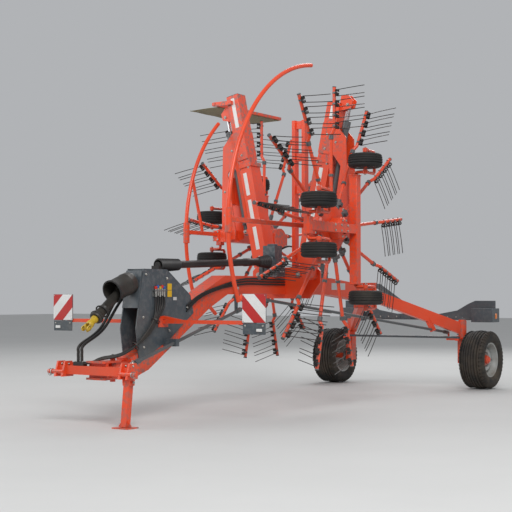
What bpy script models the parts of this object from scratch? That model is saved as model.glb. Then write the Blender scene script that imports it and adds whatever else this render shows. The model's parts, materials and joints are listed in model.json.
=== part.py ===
"""A towed two-rotor hay rake, folded for the road.

Metres, +Z up. -Y is forward, towards the tractor, and +X is the machine's left. Every piece is laid out
from the hitch crossbar, at Y = 0, and the whole machine is then centred over its origin on the ground.
"""

import math

import bmesh
import bpy
from mathutils import Matrix, Vector

GAP = 0.0003  # between pieces that touch

# Headstock and parking leg
CROSSBAR_HALF = 0.50
CROSSBAR_SIDE = 0.09
CROSSBAR_Z = 0.56
HITCH_PIN_END = 0.60
SWIVEL_Y = 0.26
FORK_GAP = 0.15  # clear height between the fork's two plates
FORK_PLATE = 0.022
SWIVEL_PIN_R = 0.028
LEG_X = 0.44
LEG_HINGE_DROP = 0.10  # hinge under the crossbar's middle
LEG_FOOT_LEAD = 0.05  # foot ahead of the hinge, so that its load presses it on its stop
LEG_SIDE = 0.07

# Main beam, seen from the side
BEAM_WIDE = 0.20
BEAM_HIGH = 0.22
BEAM_Z = 1.46
NECK_START_Y = 0.46
NECK_TOP_Y = 2.15
REAR_FLANGE_Y = 5.62
REAR_FLANGE_Z = 1.36
FLANGE_HALF = 0.17
FLANGE_THICK = 0.03

# Rear arms, steering and road wheels
AXLE_Y = 6.85
HALF_TRACK = 1.22
KINGPIN_X = 0.93
KINGPIN_Z = 0.86
KINGPIN_R = 0.03
TYRE_R = 0.42
TYRE_WIDE = 0.38
RIM_R = 0.235
WHEEL_SIDES = 24
RIM_GAP = 0.0003
STEER_ARM = 0.16
STEER_PIN_X = 0.27
DRAG_ARM = 0.22  # from the left kingpin to its long rod
LEVER_Y = 2.33
LEVER_Z = 1.42
LEVER_FRONT = 0.24  # pin distances under the lever's own axis
LEVER_REAR = 0.085
LEVER_THICK = 0.016
ROD_X = 0.19
TIE_ROD_R = 0.018
GUIDE_PLAY = 0.0008
EYE_GAP = 0.038  # from a steering rod's pin to the start of its end
FRONT_GUIDE_Y = 1.0
REAR_GUIDE_Y = 6.42

# Booms: each leans outwards by BOOM_LEAN from its hinge on the main beam
BOOM_Y = 3.60
HINGE_X = 0.30
HINGE_Z = 1.60
BOOM_LEAN = math.radians(12.0)
BOOM_SIDE = 0.18
SLEEVE_WALL = 0.018
SLIDE_PLAY = 0.0008
SLEEVE_START = 0.12
SLEEVE_END = 1.48
BOOM_START = 0.13
BOOM_END = {-1: 2.42, 1: 2.18}  # the right boom is longer: it carries the curtain
HINGE_PIN_R = 0.03
LUG_HALF_Y = 0.155
LUG_THICK = 0.03

# Telescoping cylinder beside each boom
CYLINDER_OFFSET = 0.185
BARREL_R = 0.042
BARREL_BORE = 0.026
ROD_R = 0.022
BARREL_START = 0.62
BARREL_LENGTH = 1.36
ROD_SHOWN = 0.20

# Rotors: vertical on the road
HUB_Y = {-1: 4.68, 1: 2.90}  # the left rotor hangs ahead of its boom, and the right one behind
HUB_Z = 2.12
ROTOR_X = 1.08  # plane of the tine arms
ARM_COUNT = 13
ARM_TIP_R = 1.68
ARM_R = 0.021
ARM_CRANK_R = 1.12
ARM_CRANK = 0.045
HUB_DISC_R = 0.27
HUB_DISC_HALF = 0.035
KING_R = 0.07
KING_PLAY = 0.003
TINE_LENGTH = 0.44
TINES_PER_ARM = 4
TINE_FIRST_R = 1.22
TINE_PITCH = 0.13
TINE_THICK = 0.014
TINE_SPREAD = 0.045

# Rotor chassis, its four ground wheels and the hoop ahead of the rotor
CHASSIS_X = 1.26
GROUND_WHEEL_X = 1.40
GROUND_WHEEL_R = 0.208
GROUND_WHEEL_WIDE = 0.17
FRONT_PAIR = (-0.80, 0.28)  # from the hub, along Y and up or down
MAIN_PAIR = (0.25, 0.81)
FORK_TUBE_R = 0.019
AXLE_R = 0.014
HUB_HALF = 0.065
HOOP_R = 1.93
HOOP_X = 0.97
HOOP_TOP = {-1: 50, 1: 82}  # degrees above level where it ends: the right one stops short of its boom
HOOP_TUBE_R = 0.024

# Drive line
PTO_FRONT = (-0.16, 0.99)
PTO_BELL = (0.48, 1.45)
PTO_REAR = (3.1558, 1.76)
TOWER_TOP_Z = 1.62
HOSE_R = 0.017

# Warning panels and light carrier
PANEL_Y = 0.95
PANEL_Z = 1.20
PANEL_X = 1.34
PANEL_SIDE = 0.30
PANEL_THICK = 0.016
LIGHTS_Y = 7.30
LIGHTS_Z = 1.02
MAST_Y = 3.92
MAST_TOP = 3.62

COLOURS = {
    "paint": ((0.62, 0.10, 0.02), 0.38, 0.0),
    "slate": ((0.10, 0.115, 0.125), 0.5, 0.0),
    "grey": ((0.30, 0.31, 0.32), 0.45, 0.3),
    "steel": ((0.55, 0.55, 0.54), 0.35, 1.0),
    "chrome": ((0.8, 0.8, 0.8), 0.12, 1.0),
    "tyre": ((0.02, 0.02, 0.02), 0.85, 0.0),
    "rim": ((0.62, 0.63, 0.62), 0.4, 0.2),
    "black": ((0.025, 0.025, 0.025), 0.55, 0.0),
    "brown": ((0.06, 0.045, 0.035), 0.55, 0.0),
    "yellow": ((0.75, 0.55, 0.03), 0.5, 0.0),
    "white": ((0.8, 0.8, 0.78), 0.5, 0.0),
    "olive": ((0.12, 0.12, 0.06), 0.9, 0.0),
    "amber": ((0.75, 0.20, 0.02), 0.3, 0.0),
}

X_AXIS, Y_AXIS, Z_AXIS = Vector((1, 0, 0)), Vector((0, 1, 0)), Vector((0, 0, 1))


# Shapes: each is (points, faces), closed


def prism(outline, origin, across, up, thick):
    """An outline in the plane of across and up, made thick to both sides of it."""
    across, up = Vector(across).normalized(), Vector(up).normalized()
    out = across.cross(up) * (thick / 2)
    middle = [Vector(origin) + across * a + up * b for a, b in outline]
    count = len(middle)
    points = [p - out for p in middle] + [p + out for p in middle]
    faces = [tuple(range(count))[::-1], tuple(range(count, 2 * count))]
    for i in range(count):
        j = (i + 1) % count
        faces.append((i, j, count + j, count + i))
    return points, faces


def box(centre, size):
    a, b = size[0] / 2, size[1] / 2
    return prism([(-a, -b), (a, -b), (a, b), (-a, b)], centre, X_AXIS, Y_AXIS, size[2])


def sweep(path, profile, side=X_AXIS):
    """A closed profile carried along a path, mitred at its corners. side is the profile's first axis."""
    path = [Vector(p) for p in path]
    rings = []
    for i, point in enumerate(path):
        before = (point - path[i - 1]).normalized() if i else None
        after = (path[i + 1] - point).normalized() if i < len(path) - 1 else None
        along = after if before is None else before if after is None else before
        mitre = along if before is None or after is None else (before + after).normalized()
        across = (side - along * side.dot(along)).normalized()
        up = along.cross(across)
        ring = []
        for a, b in profile:
            offset = across * a + up * b
            ring.append(point + offset - along * (offset.dot(mitre) / along.dot(mitre)))
        rings.append(ring)
    count = len(profile)
    points = [p for ring in rings for p in ring]
    faces = [tuple(range(count))[::-1], tuple(range(len(points) - count, len(points)))]
    for k in range(len(rings) - 1):
        for i in range(count):
            j = (i + 1) % count
            faces.append((k * count + i, k * count + j, (k + 1) * count + j, (k + 1) * count + i))
    return points, faces


def circle(radius, sides):
    turn = 2 * math.pi / sides
    angles = [turn * (i + 0.5) for i in range(sides)]
    return [(radius * math.cos(angle), radius * math.sin(angle)) for angle in angles]


def rectangle(wide, high):
    return [(-wide / 2, -high / 2), (wide / 2, -high / 2), (wide / 2, high / 2), (-wide / 2, high / 2)]


def off_axis(a, b):
    """An axis that isn't near the line from a to b."""
    along = (Vector(b) - Vector(a)).normalized()
    return min((X_AXIS, Y_AXIS, Z_AXIS), key=lambda axis: abs(axis.dot(along)))


def rod(a, b, radius, sides=10):
    return sweep([a, b], circle(radius / math.cos(math.pi / sides), sides), off_axis(a, b))


def bar(a, b, wide, high, side=X_AXIS):
    return sweep([a, b], rectangle(wide, high), side)


def pipe(path, radius, sides=6, side=X_AXIS):
    return sweep(path, circle(radius, sides), side)


def turned(profile, centre, axis, sides=24):
    """A closed (radius, along) profile turned about an axis through centre."""
    axis = Vector(axis).normalized()
    first = off_axis(Vector(), axis)
    first = (first - axis * first.dot(axis)).normalized()
    second = axis.cross(first)
    count = len(profile)
    points = []
    for i in range(sides):
        turn = 2 * math.pi * i / sides
        out = first * math.cos(turn) + second * math.sin(turn)
        points += [Vector(centre) + out * r + axis * h for r, h in profile]
    faces = []
    for i in range(sides):
        k = (i + 1) % sides
        for a in range(count):
            b = (a + 1) % count
            faces.append((i * count + a, i * count + b, k * count + b, k * count + a))
    return points, faces


def cone(a, b, first, last, sides=16):
    """A round piece that tapers from a to b."""
    a, b = Vector(a), Vector(b)
    side = off_axis(a, b)
    start = sweep([a, b], circle(first, sides), side)[0][:sides]
    end = sweep([a, b], circle(last, sides), side)[0][sides:]
    faces = [tuple(range(sides))[::-1], tuple(range(sides, 2 * sides))]
    for i in range(sides):
        j = (i + 1) % sides
        faces.append((i, j, sides + j, sides + i))
    return start + end, faces


def smooth_route(points, per_leg=3):
    """Points along a smooth curve through the given ones."""
    points = [Vector(p) for p in points]
    padded = [points[0] * 2 - points[1]] + points + [points[-1] * 2 - points[-2]]
    route = []
    for i in range(1, len(padded) - 2):
        p0, p1, p2, p3 = padded[i - 1 : i + 3]
        for k in range(per_leg):
            t = k / per_leg
            route.append(
                0.5 * (2 * p1 + (p2 - p0) * t + (2 * p0 - 5 * p1 + 4 * p2 - p3) * t * t
                       + (3 * p1 - p0 - 3 * p2 + p3) * t ** 3)
            )
    return route + [points[-1]]


# Objects


def clear_scene():
    for item in list(bpy.data.objects):
        bpy.data.objects.remove(item, do_unlink=True)


def material(kind):
    found = bpy.data.materials.get(kind)
    if found:
        return found
    colour, roughness, metallic = COLOURS[kind]
    made = bpy.data.materials.new(kind)
    made.use_nodes = True
    shader = made.node_tree.nodes["Principled BSDF"]
    shader.inputs["Base Color"].default_value = (*colour, 1)
    shader.inputs["Roughness"].default_value = roughness
    shader.inputs["Metallic"].default_value = metallic
    return made


def mesh_object(name, shape, origin=Vector()):
    points, faces = shape
    mesh = bpy.data.meshes.new(name)
    mesh.from_pydata([Vector(p) - origin for p in points], [], faces)
    work = bmesh.new()
    work.from_mesh(mesh)
    bmesh.ops.recalc_face_normals(work, faces=work.faces)
    work.to_mesh(mesh)
    work.free()
    made = bpy.data.objects.new(name, mesh)
    bpy.context.scene.collection.objects.link(made)
    return made


def combine(target, shapes, origin, operation):
    """Adds the shapes to the target, or cuts them from it, with one exact Boolean each, and applies it."""
    for shape in shapes:
        helper = mesh_object("helper", shape, origin)
        helper.display_type = "WIRE"
        helper.hide_render = True
        step = target.modifiers.new(operation, "BOOLEAN")
        step.operation = operation
        step.solver = "EXACT"
        step.object = helper
        graph = bpy.context.evaluated_depsgraph_get()
        joined = bpy.data.meshes.new_from_object(target.evaluated_get(graph))
        target.modifiers.remove(step)
        target.data = joined
        bpy.data.objects.remove(helper, do_unlink=True)


def node(name, kind, shapes, pivot, cuts=()):
    """One sub-part: the shapes made one solid, less the cuts, riding on the pivot."""
    origin = pivot["at"]
    made = mesh_object(name, shapes[0], Vector(origin))
    combine(made, shapes[1:], Vector(origin), "UNION")
    combine(made, cuts, Vector(origin), "DIFFERENCE")
    made.name = name
    made.data.name = name
    made.data.materials.clear()
    made.data.materials.append(material(kind))
    made.data.shade_smooth()
    made.data.set_sharp_from_angle(angle=math.radians(35))
    made.parent = pivot
    return made


def pivot(name, at, parent=None):
    """An empty on a joint's axis, which the joint's pieces are parented to."""
    made = bpy.data.objects.new(name, None)
    made["at"] = tuple(at)
    made.empty_display_size = 0.1
    bpy.context.scene.collection.objects.link(made)
    made.parent = parent
    made.location = Vector(at) - (Vector(parent["at"]) if parent else Vector())
    return made


# Headstock


def headstock(root):
    swivel = pivot("swivel", (0, SWIVEL_Y, CROSSBAR_Z), root)
    half = CROSSBAR_SIDE / 2
    shapes = [box((0, 0, CROSSBAR_Z), (2 * CROSSBAR_HALF, CROSSBAR_SIDE, CROSSBAR_SIDE))]
    for side in (-1, 1):
        for inset in (0.012, 0.11):
            x = side * (CROSSBAR_HALF - inset)
            outline = [(-0.10, -0.07), (0.07, -0.07), (0.09, 0.04), (0.05, 0.09), (-0.05, 0.09)]
            shapes.append(prism(outline, (x, 0, CROSSBAR_Z), Y_AXIS, Z_AXIS, 0.022))
        tip, root_x = side * HITCH_PIN_END, side * (CROSSBAR_HALF - 0.115)
        shapes.append(rod((root_x, -0.068, CROSSBAR_Z - 0.02), (tip, -0.068, CROSSBAR_Z - 0.02), 0.022))
    for sign in (-1, 1):
        z = CROSSBAR_Z + sign * (FORK_GAP + FORK_PLATE) / 2
        outline = [(-0.13, half - 0.05), (0.13, half - 0.05), (0.075, SWIVEL_Y + 0.05),
                   (0.04, SWIVEL_Y + 0.075), (-0.04, SWIVEL_Y + 0.075), (-0.075, SWIVEL_Y + 0.05)]
        shapes.append(prism(outline, (0, 0, z), X_AXIS, Y_AXIS, FORK_PLATE))
    web = (0, half, CROSSBAR_Z)
    shapes.append(box(web, (0.24, 0.03, FORK_GAP + 2 * FORK_PLATE)))
    lug = [(0.10, half - 0.03), (0.30, half - 0.03), (STEER_PIN_X + 0.03, SWIVEL_Y + 0.03),
           (STEER_PIN_X - 0.03, SWIVEL_Y + 0.03), (0.20, half + 0.05)]
    lug_z = CROSSBAR_Z + half - 0.01
    shapes.append(prism(lug, (0, 0, lug_z), X_AXIS, Y_AXIS, 0.02))
    shapes.append(rod((STEER_PIN_X, SWIVEL_Y, lug_z), (STEER_PIN_X, SWIVEL_Y, lug_z + 0.05), 0.014))
    reach = FORK_GAP / 2 + FORK_PLATE + 0.03
    shapes.append(rod((0, SWIVEL_Y, CROSSBAR_Z - reach), (0, SWIVEL_Y, CROSSBAR_Z + reach), SWIVEL_PIN_R))
    hinge_z = CROSSBAR_Z - LEG_HINGE_DROP
    for x in (LEG_X - LEG_SIDE / 2 - GAP - 0.007, LEG_X + LEG_SIDE / 2 + GAP + 0.007):
        ear_top = LEG_HINGE_DROP - 0.03
        ear = [(-0.035, -0.035), (0.035, -0.035), (0.045, ear_top), (-0.045, ear_top)]
        shapes.append(prism(ear, (x, 0, hinge_z), Y_AXIS, Z_AXIS, 0.014))
    shapes.append(rod((LEG_X - 0.06, 0, hinge_z), (LEG_X + 0.06, 0, hinge_z), 0.012))
    node("headstock", "paint", shapes, swivel)
    clamp = box((-0.22, 0, CROSSBAR_Z + half + 0.02 + GAP), (0.14, 0.06, 0.04))
    node("hose_clamp", "black", [clamp], swivel)
    return swivel


def parking_leg(swivel):
    hinge_z = CROSSBAR_Z - LEG_HINGE_DROP
    hinge = pivot("leg_hinge", (LEG_X, 0, hinge_z), swivel)
    foot = Vector((LEG_X, -LEG_FOOT_LEAD, 0.012))
    top = Vector((LEG_X, 0, hinge_z))
    up = (top - foot).normalized()
    shapes = [bar(foot, top + up * 0.028, LEG_SIDE, LEG_SIDE)]
    sole = [(-0.10, -0.09), (0.10, -0.09), (0.10, 0.09), (-0.10, 0.09)]
    shapes.append(prism(sole, (LEG_X, -LEG_FOOT_LEAD, 0.006), X_AXIS, Y_AXIS, 0.012))
    for sign in (-1, 1):
        rib = [(0.02, 0.01), (0.085, 0.01), (0.02, 0.10)]
        shapes.append(prism([(sign * a, b) for a, b in rib], foot - Z_AXIS * 0.006, X_AXIS, Z_AXIS, 0.012))
    hole = rod(top - X_AXIS * 0.1, top + X_AXIS * 0.1, 0.0135)
    node("parking_leg", "paint", shapes, hinge, [hole])


# Main beam and what it carries


def main_path():
    return [
        (0, NECK_START_Y, CROSSBAR_Z + 0.01),
        (0, NECK_START_Y + 0.22, CROSSBAR_Z + 0.08),
        (0, NECK_TOP_Y - 0.38, BEAM_Z - 0.17),
        (0, NECK_TOP_Y, BEAM_Z),
        (0, REAR_FLANGE_Y - 1.1, BEAM_Z),
        (0, REAR_FLANGE_Y, REAR_FLANGE_Z),
    ]


def main_beam(root):
    shapes = [sweep(main_path(), rectangle(BEAM_WIDE, BEAM_HIGH))]
    eye_high = FORK_GAP - 2 * GAP
    eye_foot, eye_head = CROSSBAR_Z - eye_high / 2, CROSSBAR_Z + eye_high / 2
    shapes.append(rod((0, SWIVEL_Y, eye_foot), (0, SWIVEL_Y, eye_head), 0.065))
    neck = (NECK_START_Y + SWIVEL_Y) / 2
    shapes.append(box((0, neck + 0.02, CROSSBAR_Z), (0.11, NECK_START_Y - SWIVEL_Y + 0.04, eye_high)))
    flange = [(-FLANGE_HALF, -0.2), (FLANGE_HALF, -0.2), (FLANGE_HALF, 0.16), (-FLANGE_HALF, 0.16)]
    shapes.append(prism(flange, (0, REAR_FLANGE_Y, REAR_FLANGE_Z), X_AXIS, Z_AXIS, FLANGE_THICK))
    for sign in (-1, 1):
        lug = [(-0.40, HINGE_Z - 0.10), (-0.24, BEAM_Z - 0.16), (0.24, BEAM_Z - 0.16),
               (0.40, HINGE_Z - 0.10), (0.40, HINGE_Z + 0.05), (0.36, HINGE_Z + 0.09),
               (-0.36, HINGE_Z + 0.09), (-0.40, HINGE_Z + 0.05)]
        y = BOOM_Y + sign * (LUG_HALF_Y + LUG_THICK / 2)
        shapes.append(prism(lug, (0, y, 0), X_AXIS, Z_AXIS, LUG_THICK))
    reach = LUG_HALF_Y + LUG_THICK + 0.02
    for side in (-1, 1):
        x = side * HINGE_X
        shapes.append(rod((x, BOOM_Y - reach, HINGE_Z), (x, BOOM_Y + reach, HINGE_Z), HINGE_PIN_R, 16))
    lever_pin = BEAM_WIDE / 2 + LEVER_THICK + 0.01
    shapes.append(rod((0.05, LEVER_Y, LEVER_Z), (lever_pin, LEVER_Y, LEVER_Z), 0.016))
    bore = rod((0, SWIVEL_Y, CROSSBAR_Z - 0.2), (0, SWIVEL_Y, CROSSBAR_Z + 0.2), SWIVEL_PIN_R + 0.0015)
    node("main_beam", "paint", shapes, root, [bore])


def bearing_tower(root):
    """Two plates astride the neck, joined above it, which hold the drive line's bearing."""
    inside = BEAM_WIDE / 2 + GAP
    outline = [(0.62, TOWER_TOP_Z), (0.50, 0.98), (0.56, 0.62), (1.08, 0.86), (1.50, 1.14), (1.44, 1.34),
               (1.02, TOWER_TOP_Z)]
    shapes = []
    for side in (-1, 1):
        shapes.append(prism(outline, (side * (inside + 0.006), 0, 0), Y_AXIS, Z_AXIS, 0.012))
    front = [(0.60, TOWER_TOP_Z - 0.02), (0.535, 1.20)]
    shapes.append(bar((0, *front[0]), (0, *front[1]), 2 * inside + 0.014, 0.014))
    shapes.append(box((0, 0.84, TOWER_TOP_Z - 0.05), (2 * inside + 0.014, 0.34, 0.10)))
    guide = rod_at(front_rod_ends(), FRONT_GUIDE_Y)
    reach = guide.x + 0.035 - inside
    shapes.append(box((inside + reach / 2, guide.y, guide.z), (reach, 0.06, 0.08)))
    front, bell = (Vector((0, *place)) for place in (PTO_FRONT, PTO_BELL))
    along = (bell - front).normalized()
    shapes.append(rod(bell - along * (0.04 - GAP), bell + along * 0.16, 0.05))
    node("bearing_tower", "slate", shapes, root, [rod_bore(front_rod_ends())])


def drive_line(root):
    front, bell, rear = ((0, y, z) for y, z in (PTO_FRONT, PTO_BELL, PTO_REAR))
    front, bell, rear = Vector(front), Vector(bell), Vector(rear)
    along = (bell - front).normalized()
    tube = [cone(front + along * 0.18, bell - along * 0.12, 0.045, 0.062)]
    tube.append(cone(bell - along * 0.34, bell - along * 0.04, 0.07, 0.11))
    node("pto_guard", "brown", tube, root)
    yoke_pivot = pivot("pto_axis", front + along * 0.10, root)
    yoke = [rod(front + along * 0.06, front + along * (0.18 - GAP), 0.04)]
    for side in (-1, 1):
        inner = front + along * 0.09 + X_AXIS * side * 0.03
        yoke.append(bar(front + X_AXIS * side * 0.04, inner, 0.02, 0.05))
    yoke.append(rod(front - X_AXIS * 0.05 + along * 0.015, front + X_AXIS * 0.05 + along * 0.015, 0.014))
    node("pto_yoke", "yellow", yoke, yoke_pivot)
    start = Vector((0, 0.99, TOWER_TOP_Z + 0.045))
    line = (rear - start).normalized()
    back = [cone(start + line * 0.06, start + line * 0.38, 0.07, 0.06)]
    back.append(rod(start, start + line * 0.1, 0.04))
    back.append(cone(start + line * 0.36, rear - line * 0.18, 0.042, 0.046))
    back.append(cone(rear - line * 0.20, rear, 0.055, 0.085))
    back.append(box((0, 0.98, TOWER_TOP_Z + 0.02 + GAP), (0.10, 0.06, 0.04)))
    node("drive_shaft", "black", back, root)


def centre_gear(root):
    """Gearbox on top of the main beam, with the valve block behind it."""
    top = BEAM_Z + BEAM_HIGH / 2 + GAP
    shapes = [box((0, 3.26, top + 0.11), (0.26, 0.20, 0.22))]
    shapes.append(box((0, 3.27, top + 0.30), (0.18, 0.16, 0.18)))
    node("gearbox", "slate", shapes, root)
    valve = [box((0, 4.28, top + 0.09), (0.20, 0.34, 0.18))]
    for i in range(4):
        y = 4.16 + i * 0.08
        valve.append(rod((0.04, y, top + 0.17), (0.04, y, top + 0.22), 0.022, 8))
    node("valve_block", "grey", valve, root)


def mast(root):
    """Upright rest between the booms, which they lean beside on the road."""
    base = BEAM_Z + BEAM_HIGH / 2 + GAP
    shapes = [box((0, MAST_Y, base + 0.012), (0.24, 0.24, 0.024))]
    for side in (-1, 1):
        post = side * 0.075
        shapes.append(bar((post, MAST_Y, base + 0.01), (post, MAST_Y, MAST_TOP), 0.05, 0.09))
    for k in range(5):
        z = base + 0.30 + k * (MAST_TOP - base - 0.36) / 4
        shapes.append(box((0, MAST_Y, z), (0.16, 0.05, 0.10)))
    node("mast", "paint", shapes, root)


def warning_signs(root):
    """A tubular arm out from each side of the tower, with a square panel at its end."""
    z = PANEL_Z - PANEL_SIDE / 2
    tower_side = BEAM_WIDE / 2 + 2 * GAP + 0.012
    low = PANEL_Z - PANEL_SIDE / 2 - 0.12
    high = PANEL_Z + PANEL_SIDE / 2
    for side, name in ((1, "left"), (-1, "right")):
        start, end = side * (tower_side + 0.002), side * (PANEL_X - 0.05)
        shapes = [bar((start, PANEL_Y, z), (end, PANEL_Y, z), 0.04, 0.04, Y_AXIS)]
        shapes.append(box((side * (tower_side + 0.005), PANEL_Y, z), (0.01, 0.16, 0.12)))
        brace = side * (tower_side + 0.008)
        shapes.append(bar((brace, PANEL_Y, z + 0.05), (side * 0.42, PANEL_Y, z), 0.03, 0.03, Y_AXIS))
        x = side * (PANEL_X - 0.07)
        shapes.append(bar((x, PANEL_Y, z - 0.02), (x, PANEL_Y, z + 0.12), 0.04, 0.03))
        node(f"{name}_sign_arm", "paint", shapes, root)
        face_y = PANEL_Y - 0.02 - GAP - PANEL_THICK / 2
        middle = (side * PANEL_X, face_y, (low + high) / 2)
        node(f"{name}_warning_panel", "white", [box(middle, (PANEL_SIDE, PANEL_THICK, high - low))], root)


# Rear arms, steering and road wheels


def rear_arms(root):
    """The fork behind the flange, with a kingpin boss at each end."""
    start_y = REAR_FLANGE_Y + FLANGE_THICK / 2 + GAP
    plate = [(-FLANGE_HALF, -0.2), (FLANGE_HALF, -0.2), (FLANGE_HALF, 0.16), (-FLANGE_HALF, 0.16)]
    y = start_y + FLANGE_THICK / 2
    shapes = [prism(plate, (0, y, REAR_FLANGE_Z), X_AXIS, Z_AXIS, FLANGE_THICK)]
    for side in (-1, 1):
        path = [(side * 0.085, y, REAR_FLANGE_Z - 0.02), (side * 0.085, y + 0.10, REAR_FLANGE_Z - 0.03),
                (side * (KINGPIN_X - 0.03), AXLE_Y, KINGPIN_Z)]
        shapes.append(sweep(path, rectangle(0.10, 0.16), Vector((side * 0.8, -0.6, 0))))
        top = (side * KINGPIN_X, AXLE_Y, KINGPIN_Z + 0.11)
        shapes.append(rod((side * KINGPIN_X, AXLE_Y, KINGPIN_Z - 0.13), top, KINGPIN_R + 0.03, 16))
    guide = rod_at(rear_rod_ends(), REAR_GUIDE_Y)
    high, low = guide + Vector((-0.09, 0, 0.19)), guide + Vector((0.015, 0, -0.02))
    shapes.append(bar(high, low, 0.06, 0.07, Y_AXIS))
    bores = [rod_bore(rear_rod_ends())]
    for side in (-1, 1):
        x = side * KINGPIN_X
        foot, head = (x, AXLE_Y, KINGPIN_Z - 0.2), (x, AXLE_Y, KINGPIN_Z + 0.2)
        bores.append(rod(foot, head, KINGPIN_R + 0.0015, 16))
    node("rear_arms", "paint", shapes, root, bores)


def light_carrier(root):
    """Slate bar behind the wheels on a central strut, with a lamp box at each end."""
    strut_y = REAR_FLANGE_Y + FLANGE_THICK * 1.5 + 2 * GAP
    spine = [(0, strut_y, REAR_FLANGE_Z + 0.12), (0, strut_y + 0.35, REAR_FLANGE_Z + 0.12),
             (0, LIGHTS_Y - 0.2, LIGHTS_Z + 0.08), (0, LIGHTS_Y, LIGHTS_Z)]
    shapes = [sweep(spine, rectangle(0.06, 0.06))]
    shapes.append(bar((-1.26, LIGHTS_Y, LIGHTS_Z), (1.26, LIGHTS_Y, LIGHTS_Z), 0.06, 0.09, Y_AXIS))
    node("light_carrier", "slate", shapes, root)
    for side, name in ((1, "left"), (-1, "right")):
        lamp = [box((side * 1.12, LIGHTS_Y + 0.03 + GAP + 0.025, LIGHTS_Z), (0.26, 0.05, 0.13))]
        node(f"{name}_rear_lamp", "amber", lamp, root)


def road_wheel(side, name, root):
    kingpin = pivot(f"{name}_kingpin", (side * KINGPIN_X, AXLE_Y, KINGPIN_Z), root)
    x = side * KINGPIN_X
    top = KINGPIN_Z + 0.11 + GAP
    low = KINGPIN_Z - 0.13 - GAP
    shapes = [rod((x, AXLE_Y, low - 0.05), (x, AXLE_Y, top + 0.02), KINGPIN_R, 16)]
    shapes.append(rod((x, AXLE_Y, top), (x, AXLE_Y, top + 0.02), KINGPIN_R + 0.025, 16))
    upright = [(x - side * 0.05, low), (x + side * 0.05, low), (x + side * 0.06, TYRE_R - 0.06),
               (x - side * 0.05, TYRE_R - 0.06)]
    shapes.append(prism([(a, b) for a, b in upright], (0, AXLE_Y, 0), X_AXIS, Z_AXIS, 0.12))
    hub = side * (HALF_TRACK - 0.02)
    shapes.append(rod((x, AXLE_Y, TYRE_R), (hub, AXLE_Y, TYRE_R), 0.04, 16))
    arm_z = low - 0.025
    arm = [(x - 0.04, AXLE_Y), (x - 0.03, AXLE_Y - STEER_ARM - 0.03), (x + 0.03, AXLE_Y - STEER_ARM - 0.03),
           (x + 0.04, AXLE_Y)]
    shapes.append(prism(arm, (0, 0, arm_z), X_AXIS, Y_AXIS, 0.03))
    pin = (x, AXLE_Y - STEER_ARM, arm_z)
    shapes.append(rod(pin, (pin[0], pin[1], arm_z + 0.055), 0.014))
    if side > 0:
        drag_x = x - DRAG_ARM
        drag = [(x, AXLE_Y - 0.045), (x, AXLE_Y + 0.045),
                (drag_x - 0.025, AXLE_Y + 0.025), (drag_x - 0.025, AXLE_Y - 0.025)]
        shapes.append(prism(drag, (0, 0, arm_z), X_AXIS, Y_AXIS, 0.03))
        shapes.append(rod((drag_x, AXLE_Y, arm_z), (drag_x, AXLE_Y, KINGPIN_Z - 0.045), 0.014))
    node(f"{name}_knuckle", "paint", shapes, kingpin)
    axis = pivot(f"{name}_axle", (side * HALF_TRACK, AXLE_Y, TYRE_R), kingpin)
    half = TYRE_WIDE / 2
    profile = [(RIM_R + RIM_GAP, -half + 0.05), (TYRE_R - 0.05, -half), (TYRE_R - 0.015, -half + 0.05),
               (TYRE_R, -half + 0.10), (TYRE_R, half - 0.10), (TYRE_R - 0.015, half - 0.05),
               (TYRE_R - 0.05, half), (RIM_R + RIM_GAP, half - 0.05)]
    centre = (side * HALF_TRACK, AXLE_Y, TYRE_R)
    node(f"{name}_tyre", "tyre", [turned(profile, centre, X_AXIS, WHEEL_SIDES)], axis)
    dish = [(0.042, -0.02), (0.09, -0.02), (0.10, 0.06), (RIM_R - 0.02, 0.04), (RIM_R - 0.02, -half + 0.07),
            (RIM_R, -half + 0.05), (RIM_R, half - 0.05), (RIM_R - 0.02, half - 0.07), (RIM_R - 0.02, 0.065),
            (0.09, 0.09), (0.042, 0.05)]
    if side < 0:
        dish = [(r, -h) for r, h in dish][::-1]
    rim = [turned(dish, centre, X_AXIS, WHEEL_SIDES)]
    node(f"{name}_rim", "rim", rim, axis)
    return kingpin


def front_rod_ends():
    front = (STEER_PIN_X, SWIVEL_Y, CROSSBAR_Z + CROSSBAR_SIDE / 2 + 0.018)
    return front, (ROD_X, LEVER_Y, LEVER_Z - LEVER_FRONT)


def rear_rod_ends():
    return (ROD_X, LEVER_Y, LEVER_Z - LEVER_REAR), (KINGPIN_X - DRAG_ARM, AXLE_Y, KINGPIN_Z - 0.06)


def rod_at(ends, y):
    """The point of a steering rod's middle line at y."""
    front, back = (Vector(end) for end in ends)
    return front.lerp(back, (y - front.y) / (back.y - front.y))


def rod_bore(ends):
    return rod(*ends, TIE_ROD_R + GUIDE_PLAY, 10)


def sliding_rod(name, front, back, root):
    """A steering rod that slides along its own line, with an eye at each end, open towards its pin."""
    front, back = Vector(front), Vector(back)
    along = (back - front).normalized()
    slide = pivot(f"{name}_line", tuple(front), root)
    shapes = [rod(front + along * 0.05, back - along * 0.05, TIE_ROD_R, 10)]
    for end, sign in ((front, 1), (back, -1)):
        shapes.append(rod(end + along * sign * EYE_GAP, end + along * sign * 0.12, TIE_ROD_R + 0.010, 10))
    node(name, "grey", shapes, slide)


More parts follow.
